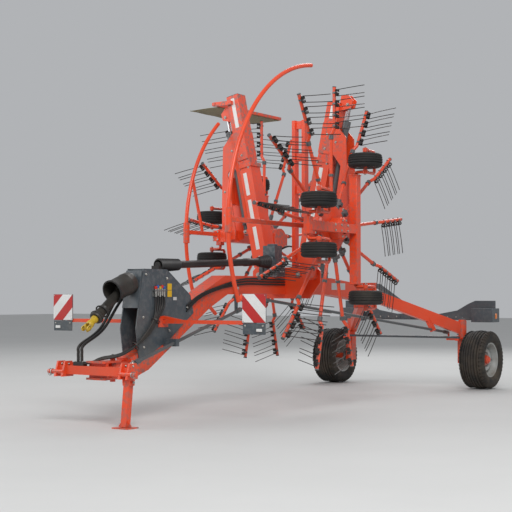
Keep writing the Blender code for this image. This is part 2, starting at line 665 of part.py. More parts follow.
def steering_rods(root, left_kingpin):
    arm_z = KINGPIN_Z - 0.13 - GAP - 0.025
    rod_z = arm_z + 0.015 + GAP + 0.016
    pin_y = AXLE_Y - STEER_ARM
    ball = pivot("tie_rod_ball", (KINGPIN_X, pin_y, rod_z), left_kingpin)
    eye = 0.016
    shapes = [rod((-KINGPIN_X, pin_y, rod_z), (KINGPIN_X, pin_y, rod_z), TIE_ROD_R - 0.003)]
    bores = []
    for side in (-1, 1):
        x = side * KINGPIN_X
        shapes.append(rod((x, pin_y, rod_z - eye), (x, pin_y, rod_z + eye), 0.03))
        bores.append(rod((x, pin_y, rod_z - 0.1), (x, pin_y, rod_z + 0.1), 0.0155))
    node("tie_rod", "slate", shapes, ball, bores)
    sliding_rod("front_steering_rod", *front_rod_ends(), root)
    plate_x = BEAM_WIDE / 2 + GAP + LEVER_THICK / 2
    turn = pivot("steering_lever_axis", (plate_x, LEVER_Y, LEVER_Z), root)
    outline = [(-0.035, 0.035), (-0.022, -LEVER_FRONT - 0.02), (0.022, -LEVER_FRONT - 0.02), (0.035, 0.035)]
    lever = [prism(outline, (plate_x, LEVER_Y, LEVER_Z), Y_AXIS, Z_AXIS, LEVER_THICK)]
    for drop in (LEVER_FRONT, LEVER_REAR):
        height = LEVER_Z - drop
        lever.append(rod((plate_x, LEVER_Y, height), (ROD_X + 0.02, LEVER_Y, height), 0.012))
    hole = rod((0, LEVER_Y, LEVER_Z), (0.3, LEVER_Y, LEVER_Z), 0.0175)
    node("steering_lever", "slate", lever, turn, [hole])
    sliding_rod("rear_steering_rod", *rear_rod_ends(), root)


# Booms


def boom_point(side, along, out, y=BOOM_Y):
    """A point of the leaning boom: along it from the hinge, and outwards from its middle line."""
    lean_sin, lean_cos = math.sin(BOOM_LEAN), math.cos(BOOM_LEAN)
    x = HINGE_X + along * lean_sin + out * lean_cos
    return Vector((side * x, y, HINGE_Z + along * lean_cos - out * lean_sin))


def boom_bar(side, start, end, wide, high, out=0.0, y=BOOM_Y):
    return bar(boom_point(side, start, out, y), boom_point(side, end, out, y), wide, high, Y_AXIS)


def boom(side, name, root):
    hinge = pivot(f"{name}_boom_hinge", (side * HINGE_X, BOOM_Y, HINGE_Z), root)
    inner = BOOM_SIDE + 2 * SLIDE_PLAY
    outer = inner + 2 * SLEEVE_WALL
    foot_half = LUG_HALF_Y - GAP
    shapes = [boom_bar(side, SLEEVE_START, SLEEVE_END, outer, outer)]
    shapes.append(boom_bar(side, SLEEVE_END - 0.05, SLEEVE_END, outer + 0.03, outer + 0.03))
    pin = boom_point(side, 0, 0)
    reach = Y_AXIS * foot_half
    shapes.append(rod(pin - reach, pin + reach, HINGE_PIN_R + 0.035, 16))
    shapes.append(boom_bar(side, 0.0, SLEEVE_START + 0.02, 0.22, 0.12))
    eye_out = CYLINDER_OFFSET
    for y_sign in (-1, 1):
        ear = [(BARREL_START - 0.06, outer / 2 - 0.01), (BARREL_START + 0.03, outer / 2 - 0.01),
               (BARREL_START + 0.02, eye_out + 0.03), (BARREL_START - 0.02, eye_out + 0.03)]
        points = [boom_point(side, a, b, 0) for a, b in ear]
        flat = [(p.x, p.z) for p in points]
        shapes.append(prism(flat, (0, BOOM_Y + y_sign * 0.052, 0), X_AXIS, Z_AXIS, 0.014))
    cuts = [boom_bar(side, SLEEVE_START + 0.012, SLEEVE_END + 0.1, inner, inner)]
    cuts.append(rod(pin - Y_AXIS * 0.4, pin + Y_AXIS * 0.4, HINGE_PIN_R + 0.0015, 16))
    node(f"{name}_boom_sleeve", "paint", shapes, hinge, cuts)
    barrel_end = BARREL_START + BARREL_LENGTH
    mouth = boom_point(side, barrel_end, eye_out)
    barrel = [rod(boom_point(side, BARREL_START - 0.03, eye_out), mouth, BARREL_R, 16)]
    barrel.append(rod(boom_point(side, barrel_end - 0.05, eye_out), mouth, BARREL_R + 0.008, 16))
    low = boom_point(side, BARREL_START, eye_out)
    barrel.append(rod(low - Y_AXIS * 0.0447, low + Y_AXIS * 0.0447, 0.03, 12))
    bore_start = boom_point(side, BARREL_START + 0.06, eye_out)
    bore = rod(bore_start, boom_point(side, barrel_end + 0.1, eye_out), BARREL_BORE, 16)
    node(f"{name}_cylinder_barrel", "grey", barrel, hinge, [bore])
    return hinge


def boom_slide(side, name, hinge):
    slide = pivot(f"{name}_boom_slide", tuple(boom_point(side, SLEEVE_END, 0)), hinge)
    end = BOOM_END[side]
    eye_out = CYLINDER_OFFSET
    rod_end = BARREL_START + BARREL_LENGTH + ROD_SHOWN
    shapes = [boom_bar(side, BOOM_START + 0.012, end, BOOM_SIDE, BOOM_SIDE)]
    hook = [(rod_end - 0.10, BOOM_SIDE / 2 - 0.02), (rod_end + 0.10, BOOM_SIDE / 2 - 0.02),
            (rod_end + 0.12, eye_out - 0.02), (rod_end + 0.06, eye_out + 0.06),
            (rod_end - 0.03, eye_out + 0.05), (rod_end - 0.06, eye_out - 0.02)]
    flat = [(p.x, p.z) for p in (boom_point(side, a, b, 0) for a, b in hook)]
    for y_sign in (-1, 1):
        shapes.append(prism(flat, (0, BOOM_Y + y_sign * 0.045, 0), X_AXIS, Z_AXIS, 0.014))
    pin = boom_point(side, rod_end, eye_out)
    shapes.append(rod(pin - Y_AXIS * 0.062, pin + Y_AXIS * 0.062, 0.013))
    node(f"{name}_boom_beam", "paint", shapes, slide)
    inside = boom_point(side, BARREL_START + 0.10, eye_out)
    chrome = [rod(inside, boom_point(side, rod_end - 0.01, eye_out), ROD_R, 16)]
    chrome.append(rod(pin - Y_AXIS * 0.0375, pin + Y_AXIS * 0.0375, 0.028))
    bore = rod(pin - Y_AXIS * 0.2, pin + Y_AXIS * 0.2, 0.0145)
    node(f"{name}_cylinder_rod", "chrome", chrome, slide, [bore])
    return slide


# Rotors


def carrier(side, name, slide):
    """Two plates from the boom's beam out and down to the box over the rotor's middle."""
    outline = [(SLEEVE_END + 0.06, -0.09), (1.92, -0.09), (1.92, 0.09), (1.78, 0.27), (1.05, 0.44),
               (0.66, 0.52), (0.56, 0.50), (0.56, 0.33), (0.66, 0.30), (1.42, 0.27),
               (SLEEVE_END + 0.06, 0.14)]
    flat = [(p.x, p.z) for p in (boom_point(side, a, b, 0) for a, b in outline)]
    shapes = []
    for y_sign in (-1, 1):
        y = BOOM_Y + y_sign * (BOOM_SIDE / 2 + GAP + 0.008)
        shapes.append(prism(flat, (0, y, 0), X_AXIS, Z_AXIS, 0.016))
    tie = (boom_point(side, 1.05, 0.385), boom_point(side, 1.40, 0.34))
    shapes.append(bar(tie[0], tie[1], BOOM_SIDE + 0.02, 0.05, Y_AXIS))
    inner_x = side * (ROTOR_X - 0.19)
    reach = abs(BOOM_Y - HUB_Y[side]) + 0.40
    shapes.append(box((inner_x, (HUB_Y[side] + BOOM_Y) / 2, HUB_Z), (0.13, reach, 0.16)))
    hub_end = side * (ROTOR_X - HUB_DISC_HALF - GAP)
    hub_start = side * (ROTOR_X - 0.27)
    shapes.append(rod((hub_start, HUB_Y[side], HUB_Z), (hub_end, HUB_Y[side], HUB_Z), 0.15, 16))
    node(f"{name}_rotor_carrier", "paint", shapes, slide)


def hoop(side, name, slide):
    """Tube arc ahead of the rotor, inboard of its arms, on a bar from the carrier."""
    x = side * HOOP_X
    arc = [(x, HUB_Y[side] - HOOP_R * math.cos(math.radians(a)), HUB_Z + HOOP_R * math.sin(math.radians(a)))
           for a in range(HOOP_TOP[side], -26, -12)]
    arc += [(x, HUB_Y[side] - 1.62, HUB_Z - 0.80), (x, HUB_Y[side] - 1.30, HUB_Z - 1.02)]
    start_y = min(HUB_Y[side], BOOM_Y) - 0.2 - GAP
    start = (x, start_y, HUB_Z + 0.02)
    shapes = [pipe(arc, HOOP_TUBE_R, 6)]
    front = (x, HUB_Y[side] - HOOP_R, HUB_Z + 0.02)
    shapes.append(bar(start, front, 0.05, 0.05))
    shapes.append(box((x, start_y - 0.01, HUB_Z), (0.09, 0.02, 0.14)))
    nose_y = HUB_Y[side] - HOOP_R
    shapes.append(rod((x, nose_y + 0.01, HUB_Z - 0.12), (x, nose_y + 0.01, HUB_Z + 0.14), 0.04, 12))
    shapes.append(bar((x, nose_y + 0.35, HUB_Z + 0.02), (x, nose_y + 0.13, HUB_Z + 0.72), 0.03, 0.03))
    node(f"{name}_guard_hoop", "paint", shapes, slide)


def chassis(side, name, slide):
    """King tube through the rotor, and the wheel frame on the crop side of it."""
    x = side * CHASSIS_X
    inner = side * (ROTOR_X - HUB_DISC_HALF)
    shapes = [rod((inner, HUB_Y[side], HUB_Z), (x, HUB_Y[side], HUB_Z), KING_R, 20)]
    outer = side * (ROTOR_X + HUB_DISC_HALF + GAP)
    shapes.append(rod((outer, HUB_Y[side], HUB_Z), (x, HUB_Y[side], HUB_Z), 0.13, 16))
    front_y, main_y = HUB_Y[side] + FRONT_PAIR[0], HUB_Y[side] + MAIN_PAIR[0]
    shapes.append(bar((x, front_y, HUB_Z), (x, main_y + 0.06, HUB_Z), 0.09, 0.11))
    shapes.append(bar((x, main_y, HUB_Z - MAIN_PAIR[1] + GROUND_WHEEL_WIDE / 2 + 0.07),
                      (x, main_y, HUB_Z + MAIN_PAIR[1] - GROUND_WHEEL_WIDE / 2 - 0.07), 0.10, 0.10))
    shapes.append(bar((x, front_y, HUB_Z - 0.10), (x, front_y, HUB_Z + 0.10), 0.08, 0.08))
    wheel_x = side * GROUND_WHEEL_X
    for y, reach in ((front_y, FRONT_PAIR[1]), (main_y, MAIN_PAIR[1])):
        for sign in (-1, 1):
            z = HUB_Z + sign * reach
            gap = GROUND_WHEEL_WIDE / 2 + 0.045
            near, far = z - sign * gap, z + sign * gap
            route = [(x, y, near - sign * 0.09), (x, y, near), (wheel_x, y, near)]
            shapes.append(pipe(route, FORK_TUBE_R, 6, Y_AXIS))
            back_y = y + GROUND_WHEEL_R + 0.05
            back_x = wheel_x - side * 0.02
            route = [(wheel_x, y, near), (back_x, back_y, near), (back_x, back_y, far), (wheel_x, y, far)]
            shapes.append(pipe(route, FORK_TUBE_R, 6, X_AXIS))
            axle_near, axle_far = near - sign * 0.02, far + sign * 0.02
            shapes.append(rod((wheel_x, y, axle_near), (wheel_x, y, axle_far), AXLE_R, 10))
            boss = HUB_HALF + GAP
            shapes.append(rod((wheel_x, y, z - boss), (wheel_x, y, z - gap), 0.024, 8))
            shapes.append(rod((wheel_x, y, z + boss), (wheel_x, y, z + gap), 0.024, 8))
    node(f"{name}_rotor_chassis", "paint", shapes, slide)


def ground_wheels(side, name, slide):
    wheel_x = side * GROUND_WHEEL_X
    half = GROUND_WHEEL_WIDE / 2
    radius = GROUND_WHEEL_R
    profile = [(AXLE_R + 0.0015, -HUB_HALF), (0.10, -HUB_HALF), (0.12, -half), (radius - 0.02, -half),
               (radius, -half + 0.035), (radius, half - 0.035), (radius - 0.02, half), (0.12, half),
               (0.10, HUB_HALF), (AXLE_R + 0.0015, HUB_HALF)]
    places = {"front_upper": (FRONT_PAIR, 1), "front_lower": (FRONT_PAIR, -1),
              "main_upper": (MAIN_PAIR, 1), "main_lower": (MAIN_PAIR, -1)}
    for place, ((along, reach), sign) in places.items():
        centre = (wheel_x, HUB_Y[side] + along, HUB_Z + sign * reach)
        axis = pivot(f"{name}_{place}_axle", centre, slide)
        node(f"{name}_{place}_wheel", "tyre", [turned(profile, centre, Z_AXIS, 14)], axis)


def rotor_point(side, radius, turn, x):
    """Turn is counted from straight up, backwards."""
    return Vector((side * x, HUB_Y[side] + radius * math.sin(turn), HUB_Z + radius * math.cos(turn)))


def lifted(turn):
    """The cam lifts the tines of the arms at the rear and low down."""
    degrees = math.degrees(turn) % 360
    return 50 < degrees < 215


def rotor(side, name, slide):
    spin = pivot(f"{name}_rotor_axis", (side * ROTOR_X, HUB_Y[side], HUB_Z), slide)
    bore = KING_R + KING_PLAY
    half = HUB_DISC_HALF
    disc = [(bore, -half), (HUB_DISC_R, -half), (HUB_DISC_R + 0.02, 0), (HUB_DISC_R, half), (bore, half)]
    shapes = [turned(disc, (side * ROTOR_X, HUB_Y[side], HUB_Z), X_AXIS, 26)]
    for i in range(ARM_COUNT):
        turn = math.radians(360 / ARM_COUNT * i)
        x = ROTOR_X
        path = [rotor_point(side, HUB_DISC_R - 0.06, turn, x), rotor_point(side, ARM_CRANK_R, turn, x),
                rotor_point(side, ARM_CRANK_R + 0.05, turn, x + ARM_CRANK),
                rotor_point(side, ARM_TIP_R, turn, x + ARM_CRANK)]
        shapes.append(pipe(path, ARM_R, 6, X_AXIS))
        sweep_dir = Vector((0, math.cos(turn), -math.sin(turn)))
        down = Vector((side, 0, 0))
        reach = sweep_dir * 0.97 + down * 0.12 if lifted(turn) else down * 0.97 - sweep_dir * 0.2
        reach.normalize()
        for k in range(TINES_PER_ARM):
            radius = TINE_FIRST_R + k * TINE_PITCH
            centre = rotor_point(side, radius, turn, x + ARM_CRANK)
            radial = Vector((0, math.sin(turn), math.cos(turn)))
            shapes.append(bar(centre, centre + reach * TINE_LENGTH, TINE_SPREAD, TINE_THICK, radial))
    node(f"{name}_rotor", "paint", shapes, spin)


def curtain(slide):
    """Swath curtain on the right boom's outer end: an L-shaped tube with a sheet along it."""
    end = BOOM_END[-1]
    base = boom_point(-1, end - 0.10, 0)
    top = base.z
    out = base.x - 0.30
    frame_y = BOOM_Y - BOOM_SIDE / 2
    bar_y = frame_y - 0.025 - GAP
    frame = [bar((base.x, bar_y, top), (out, bar_y, top), 0.05, 0.05, Y_AXIS)]
    frame.append(bar((out + 0.02, frame_y - 0.06, top), (out + 0.02, frame_y + 1.55, top), 0.04, 0.04))
    node("curtain_frame", "paint", frame, slide)
    low = top - 0.02 - GAP - 0.006
    sheet = box((out - 0.20, frame_y + 0.78, low), (0.46, 1.50, 0.012))
    node("curtain", "olive", [sheet], slide)


def hose(name, route, radius, root):
    """A hydraulic hose as a curve with filled caps."""
    curve = bpy.data.curves.new(name, "CURVE")
    curve.dimensions = "3D"
    curve.bevel_depth = radius
    curve.bevel_resolution = 2
    curve.use_fill_caps = True
    points = smooth_route(route)
    spline = curve.splines.new("POLY")
    spline.points.add(len(points) - 1)
    for target, point in zip(spline.points, points):
        target.co = (*point, 1)
    made = bpy.data.objects.new(name, curve)
    curve.materials.append(material("black"))
    bpy.context.scene.collection.objects.link(made)
    made.parent = root
    return made


def supply_hoses(root):
    """Two hoses from the tower's right side down to the clamp on the crossbar."""
    clamp_top = CROSSBAR_Z + CROSSBAR_SIDE / 2 + 0.04
    tower_side = BEAM_WIDE / 2 + 2 * GAP + 0.012
    for k in range(2):
        start_y, start_z = 1.22 - 0.16 * k, 1.40 + 0.06 * k
        low_x = -0.195 - 0.05 * k
        route = [(-tower_side - GAP, start_y, start_z), (-tower_side - 0.03, start_y, start_z),
                 (-tower_side - 0.06, start_y, start_z), (-0.21, start_y - 0.10, start_z + 0.05),
                 (-0.24, 0.72 - 0.10 * k, 1.32), (-0.20 - 0.05 * k, 0.34, 0.98), (low_x, 0.03, 0.82),
                 (low_x, 0.0, 0.74), (low_x, 0.0, 0.69), (low_x, 0.0, clamp_top + 3 * GAP)]
        hose(f"hose_{k + 1}", route, HOSE_R, root)


def centre_on_ground(root):
    """Moves the machine so that its origin is under the middle of its box."""
    bpy.context.view_layer.update()
    corners = []
    for item in bpy.data.objects:
        if item.type in ("MESH", "CURVE"):
            corners += [item.matrix_world @ Vector(corner) for corner in item.bound_box]
    low = [min(p[k] for p in corners) for k in range(3)]
    high = [max(p[k] for p in corners) for k in range(3)]
    root.location = (-(low[0] + high[0]) / 2, -(low[1] + high[1]) / 2, -low[2])


def main():
    clear_scene()
    root = pivot("rake", (0, 0, 0))
    swivel = headstock(root)
    parking_leg(swivel)
    main_beam(root)
    bearing_tower(root)
    drive_line(root)
    centre_gear(root)
    mast(root)
    warning_signs(root)
    rear_arms(root)
    light_carrier(root)
    left = road_wheel(1, "left", root)
    road_wheel(-1, "right", root)
    steering_rods(root, left)
    for side, name in ((1, "left"), (-1, "right")):
        hinge = boom(side, name, root)
        slide = boom_slide(side, name, hinge)
        carrier(side, name, slide)
        hoop(side, name, slide)
        chassis(side, name, slide)
        ground_wheels(side, name, slide)
        rotor(side, name, slide)
        if side < 0:
            curtain(slide)
    supply_hoses(root)
    centre_on_ground(root)


main()
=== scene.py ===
"""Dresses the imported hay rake: finishes for its metalwork and detailed pieces over its plain ones."""

import functools
import json
import math

import bmesh
import bpy
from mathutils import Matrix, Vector


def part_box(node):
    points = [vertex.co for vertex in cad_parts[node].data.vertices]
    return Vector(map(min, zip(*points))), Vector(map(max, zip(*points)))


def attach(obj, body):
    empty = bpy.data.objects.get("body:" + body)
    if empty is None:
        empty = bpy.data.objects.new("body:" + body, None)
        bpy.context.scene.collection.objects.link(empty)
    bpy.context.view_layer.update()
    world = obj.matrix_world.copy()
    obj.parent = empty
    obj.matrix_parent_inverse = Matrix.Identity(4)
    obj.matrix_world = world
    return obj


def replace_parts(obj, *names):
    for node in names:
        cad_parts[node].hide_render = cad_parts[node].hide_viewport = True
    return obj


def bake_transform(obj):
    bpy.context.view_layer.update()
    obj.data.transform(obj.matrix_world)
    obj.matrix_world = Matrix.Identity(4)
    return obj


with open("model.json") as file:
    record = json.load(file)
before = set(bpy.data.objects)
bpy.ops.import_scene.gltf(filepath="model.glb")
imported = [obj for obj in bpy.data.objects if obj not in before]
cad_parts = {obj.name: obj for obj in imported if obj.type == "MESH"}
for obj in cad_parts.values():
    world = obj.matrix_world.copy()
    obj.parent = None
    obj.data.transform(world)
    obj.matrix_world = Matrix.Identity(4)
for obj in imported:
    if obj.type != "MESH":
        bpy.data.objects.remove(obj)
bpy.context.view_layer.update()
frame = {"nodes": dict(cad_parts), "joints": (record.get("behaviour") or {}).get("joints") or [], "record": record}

bl_info = {
    "name": "Hay rake dressing",
    "version": (1, 0, 0),
    "blender": (4, 5, 0),
    "location": "View3D > Sidebar > Hay Rake",
    "description": "Finishes and detailed pieces for a folded two-rotor hay rake",
    "category": "Object",
}

X_AXIS, Y_AXIS, Z_AXIS = Vector((1, 0, 0)), Vector((0, 1, 0)), Vector((0, 0, 1))
JOINTS = {joint["name"]: joint for joint in frame["joints"]}
SIDES = ((1, "left"), (-1, "right"))
GROUND_WHEELS = ("front_upper", "front_lower", "main_upper", "main_lower")

ARM_COUNT = 13
ARM_R = 0.021
ARM_CRANK_R = 1.12
ARM_CRANK = 0.045
ARM_TIP_R = 1.68
TINE_FIRST_R = 1.22
TINE_PITCH = 0.13
TINES_PER_ARM = 4
TINE_LENGTH = 0.44
BOOM_LEAN = math.radians(12.0)
BOOM_SIDE = 0.18
CYLINDER_OFFSET = 0.185


def joint_at(name):
    return Vector(JOINTS[name]["pos_m"])


HINGE = joint_at("left_boom_fold")
CROSSBAR_Y = HINGE.y - 3.60  # the hitch crossbar, which the layout is counted from


def placed(x, y, z):
    """A point counted from the hitch crossbar."""
    return Vector((x, CROSSBAR_Y + y, z))


def boom_point(side, along, out, forward=0.0):
    """A point of a leaning boom: along it from its hinge, outwards from its middle, and forward."""
    lean_sin, lean_cos = math.sin(BOOM_LEAN), math.cos(BOOM_LEAN)
    x = abs(HINGE.x) + along * lean_sin + out * lean_cos
    return Vector((side * x, HINGE.y - forward, HINGE.z + along * lean_cos - out * lean_sin))


def boom_axes(side):
    up = (boom_point(side, 1, 0) - boom_point(side, 0, 0)).normalized()
    out = (boom_point(side, 0, 1) - boom_point(side, 0, 0)).normalized()
    return up, out


# Settings


class RakeColours(bpy.types.PropertyGroup):
    paint: bpy.props.FloatVectorProperty(
        name="Paint", description="Main paint", subtype="COLOR", size=3, default=(0.82, 0.068, 0.014))
    slate: bpy.props.FloatVectorProperty(
        name="Slate", description="Paint of the tower and rear carrier", subtype="COLOR", size=3,
        default=(0.058, 0.076, 0.090))
    rubber: bpy.props.FloatVectorProperty(
        name="Rubber", description="Tyres", subtype="COLOR", size=3, default=(0.012, 0.012, 0.012))
    cloth: bpy.props.FloatVectorProperty(
        name="Curtain", description="Coated cloth of the curtain", subtype="COLOR", size=3,
        default=(0.21, 0.19, 0.075))
    dust: bpy.props.FloatVectorProperty(
        name="Dust", description="Road dust", subtype="COLOR", size=3, default=(0.16, 0.12, 0.08))


class RakeSizes(bpy.types.PropertyGroup):
    edge: bpy.props.FloatProperty(
        name="Edge", description="Rounding of the metalwork's edges", default=0.004, min=0.0005, max=0.01,
        unit="LENGTH")
    wire: bpy.props.FloatProperty(
        name="Tine wire", description="Radius of the spring wire", default=0.0048, min=0.003, max=0.008,
        unit="LENGTH")
    bolt: bpy.props.FloatProperty(
        name="Bolt", description="Radius of a usual bolt head", default=0.014, min=0.005, max=0.03,
        unit="LENGTH")
    lug: bpy.props.FloatProperty(
        name="Tread", description="Height of the road tyres' tread", default=0.014, min=0.004, max=0.03,
        unit="LENGTH")


def colours():
    return bpy.context.scene.rake_colours


def sizes():
    return bpy.context.scene.rake_sizes


# Mesh making


def square_axes(axis):
    """Two directions square to an axis and to each other."""
    first = min((X_AXIS, Y_AXIS, Z_AXIS), key=lambda other: abs(other.dot(axis)))
    first = (first - axis * first.dot(axis)).normalized()
    return first, axis.cross(first)


def circle(centre, first, second, radius, sides):
    turns = [2 * math.pi * k / sides for k in range(sides)]
    return [centre + (first * math.cos(turn) + second * math.sin(turn)) * radius for turn in turns]


def round_wheel(turn):
    """A direction square to the machine's width, turned from the rear upwards."""
    return Vector((0, math.cos(turn), math.sin(turn)))


class Shape:
    """Points and faces of a piece in the making."""

    def __init__(self):
        self.points = []
        self.faces = []

    def add(self, points, faces):
        start = len(self.points)
        self.points += [Vector(p) for p in points]
        self.faces += [tuple(start + i for i in face) for face in faces]

    def loft(self, rings, closed=False, caps=True):
        """Joins rings of equal length, one after another."""
        count = len(rings[0])
        points = [p for ring in rings for p in ring]
        faces = []
        for k in range(len(rings) if closed else len(rings) - 1):
            here, there = k * count, (k + 1) % len(rings) * count
            for i in range(count):
                j = (i + 1) % count
                faces.append((here + i, here + j, there + j, there + i))
        if caps and not closed:
            faces.append(tuple(range(count))[::-1])
            faces.append(tuple(range(len(points) - count, len(points))))
        self.add(points, faces)

    def tube(self, path, radius, sides=10, closed=False):
        """A round tube along a path. radius is one number or one for each point."""
        path = [Vector(p) for p in path]
        radii = radius if isinstance(radius, list) else [radius] * len(path)
        side = None
        rings = []
        for i, point in enumerate(path):
            after = path[(i + 1) % len(path)] if closed or i < len(path) - 1 else None
            before = path[i - 1] if closed or i else None
            along = ((after or point) - (before or point)).normalized()
            side = side or square_axes(along)[0]
            side = (side - along * side.dot(along)).normalized()
            rings.append(circle(point, side, along.cross(side), radii[i], sides))
        self.loft(rings, closed)

    def turned(self, profile, centre, axis, sides=32):
        """A closed (radius, along) outline turned about an axis."""
        axis = Vector(axis).normalized()
        first, second = square_axes(axis)
        rings = []
        for k in range(sides):
            turn = 2 * math.pi * k / sides
            out = first * math.cos(turn) + second * math.sin(turn)
            rings.append([Vector(centre) + out * r + axis * h for r, h in profile])
        self.loft(rings, closed=True)

    def disc(self, centre, axis, radius, height, sides=16, dome=0.0):
        """A short round boss standing on centre, with a slight chamfer."""
        axis = Vector(axis).normalized()
        chamfer = min(radius, height) * 0.2
        first, second = square_axes(axis)
        steps = ((radius, 0), (radius, height - chamfer), (radius - chamfer, height),
                 (radius * 0.4, height + dome))
        self.loft([circle(Vector(centre) + axis * h, first, second, r, sides) for r, h in steps])

    def box(self, centre, size, across=X_AXIS, up=Z_AXIS):
        """A block of size (across, deep, up)."""
        across, up = Vector(across).normalized(), Vector(up).normalized()
        deep = up.cross(across).normalized()
        rings = []
        for h in (-0.5, 0.5):
            ring = []
            for a, b in ((-0.5, -0.5), (0.5, -0.5), (0.5, 0.5), (-0.5, 0.5)):
                ring.append(Vector(centre) + across * size[0] * a + deep * size[1] * b + up * size[2] * h)
            rings.append(ring)
        self.loft(rings)

    def bolt(self, at, axis, radius=None):
        """A hex head on a washer, with the rounded end of its thread."""
        radius = radius or sizes().bolt
        axis = Vector(axis).normalized()
        self.disc(at, axis, radius * 1.35, radius * 0.25, 14)
        self.disc(Vector(at) + axis * radius * 0.24, axis, radius, radius * 0.7, 6)
        self.disc(Vector(at) + axis * radius * 0.9, axis, radius * 0.5, radius * 0.35, 10, radius * 0.1)

    def made(self, name, finish, body, angle=35.0, slot=None):
        """The finished piece, riding on its body if one is given."""
        mesh = bpy.data.meshes.new(name)
        mesh.from_pydata(self.points, [], self.faces)
        work = bmesh.new()
        work.from_mesh(mesh)
        bmesh.ops.recalc_face_normals(work, faces=work.faces)
        work.to_mesh(mesh)
        work.free()
        mesh.shade_smooth()
        mesh.set_sharp_from_angle(angle=math.radians(angle))
        piece = bpy.data.objects.new(name, mesh)
        bpy.context.scene.collection.objects.link(piece)
        mesh.materials.append(finish())
        if body:
            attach(piece, body)
        return piece


def smooth_route(points, per_leg=8):
    """Points along a smooth curve through the given ones."""
    points = [Vector(p) for p in points]
    padded = [points[0] * 2 - points[1]] + points + [points[-1] * 2 - points[-2]]
    route = []
    for i in range(1, len(padded) - 2):
        p0, p1, p2, p3 = padded[i - 1 : i + 3]
        for k in range(per_leg):
            t = k / per_leg
            route.append(0.5 * (2 * p1 + (p2 - p0) * t + (2 * p0 - 5 * p1 + 4 * p2 - p3) * t * t
                                + (3 * p1 - p0 - 3 * p2 + p3) * t ** 3))
    return route + [points[-1]]


def rounded(piece, width=None, harden=False):
    """Rounds the edges of a piece made of plates and square tubes."""
    rounding = piece.modifiers.new("Rounded edges", "BEVEL")
    rounding.width = width or sizes().edge
    rounding.segments = 2
    rounding.limit_method = "ANGLE"
    rounding.angle_limit = math.radians(40)
    rounding.harden_normals = harden
    return piece


# Shader node groups


def group(name, inputs, outputs):
    tree = bpy.data.node_groups.new(name, "ShaderNodeTree")
    for label, kind, value in inputs:
        made = tree.interface.new_socket(label, in_out="INPUT", socket_type=kind)
        made.default_value = value
    for label, kind in outputs:
        tree.interface.new_socket(label, in_out="OUTPUT", socket_type=kind)
    return tree, tree.nodes.new("NodeGroupInput"), tree.nodes.new("NodeGroupOutput")


def noise(tree, scale, detail=4.0, roughness=0.55, coordinates=None):
    made = tree.nodes.new("ShaderNodeTexNoise")
    made.inputs["Scale"].default_value = scale
    made.inputs["Detail"].default_value = detail
    made.inputs["Roughness"].default_value = roughness
    if coordinates is None:
        coordinates = tree.nodes.new("ShaderNodeTexCoord").outputs["Object"]
    tree.links.new(coordinates, made.inputs["Vector"])
    return made.outputs["Fac"]


def ramp(tree, source, low, high):
    made = tree.nodes.new("ShaderNodeMapRange")
    made.inputs["From Min"].default_value = low
    made.inputs["From Max"].default_value = high
    tree.links.new(source, made.inputs["Value"])
    return made.outputs["Result"]


def sums(tree, operation, first, second):
    made = tree.nodes.new("ShaderNodeMath")
    made.operation = operation
    for socket, value in zip(made.inputs, (first, second)):
        if isinstance(value, (int, float)):
            socket.default_value = value
        else:
            tree.links.new(value, socket)
    return made.outputs["Value"]


def blend_colours(tree, factor, first, second):
    made = tree.nodes.new("ShaderNodeMix")
    made.data_type = "RGBA"
    tree.links.new(factor, made.inputs["Factor"])
    for socket, value in ((made.inputs["A"], first), (made.inputs["B"], second)):
        if isinstance(value, tuple):
            socket.default_value = value
        else:
            tree.links.new(value, socket)
    return made.outputs["Result"]


def edge_wear_group():
    found = bpy.data.node_groups.get("Edge wear")
    if found:
        return found
    tree, given, out = group(
        "Edge wear", [("Amount", "NodeSocketFloat", 0.5), ("Scale", "NodeSocketFloat", 18.0)],
        [("Mask", "NodeSocketFloat")])
    pointiness = tree.nodes.new("ShaderNodeNewGeometry").outputs["Pointiness"]
    edges = ramp(tree, pointiness, 0.53, 0.62)
    patch = tree.nodes.new("ShaderNodeTexNoise")
    tree.links.new(given.outputs["Scale"], patch.inputs["Scale"])
    patch.inputs["Detail"].default_value = 6
    tree.links.new(tree.nodes.new("ShaderNodeTexCoord").outputs["Object"], patch.inputs["Vector"])
    broken = ramp(tree, patch.outputs["Fac"], 0.48, 0.60)
    mask = sums(tree, "MULTIPLY", sums(tree, "MULTIPLY", edges, broken), given.outputs["Amount"])
    tree.links.new(mask, out.inputs["Mask"])
    return tree


def dust_group():
    found = bpy.data.node_groups.get("Road dust")
    if found:
        return found
    tree, given, out = group(
        "Road dust", [("Amount", "NodeSocketFloat", 0.4), ("Top", "NodeSocketFloat", 1.5)],
        [("Mask", "NodeSocketFloat")])
    geometry = tree.nodes.new("ShaderNodeNewGeometry")
    split = tree.nodes.new("ShaderNodeSeparateXYZ")
    tree.links.new(geometry.outputs["Position"], split.inputs["Vector"])
    low = tree.nodes.new("ShaderNodeMapRange")
    tree.links.new(split.outputs["Z"], low.inputs["Value"])
    low.inputs["From Min"].default_value = 0.0
    tree.links.new(given.outputs["Top"], low.inputs["From Max"])
    low.inputs["To Min"].default_value = 1.0
    low.inputs["To Max"].default_value = 0.15
    cloud = ramp(tree, noise(tree, 3.2, 8.0, 0.65), 0.42, 0.72)
    speck = ramp(tree, noise(tree, 42.0, 3.0), 0.55, 0.75)
    mixed = sums(tree, "MAXIMUM", cloud, sums(tree, "MULTIPLY", speck, 0.6))
    fading = sums(tree, "MULTIPLY", mixed, low.outputs["Result"])
    mask = sums(tree, "MULTIPLY", fading, given.outputs["Amount"])
    tree.links.new(mask, out.inputs["Mask"])
    return tree


def use_group(tree, made, **values):
    node = tree.nodes.new("ShaderNodeGroup")
    node.node_tree = made
    for label, value in values.items():
        node.inputs[label].default_value = value
    return node.outputs["Mask"]


# Finishes


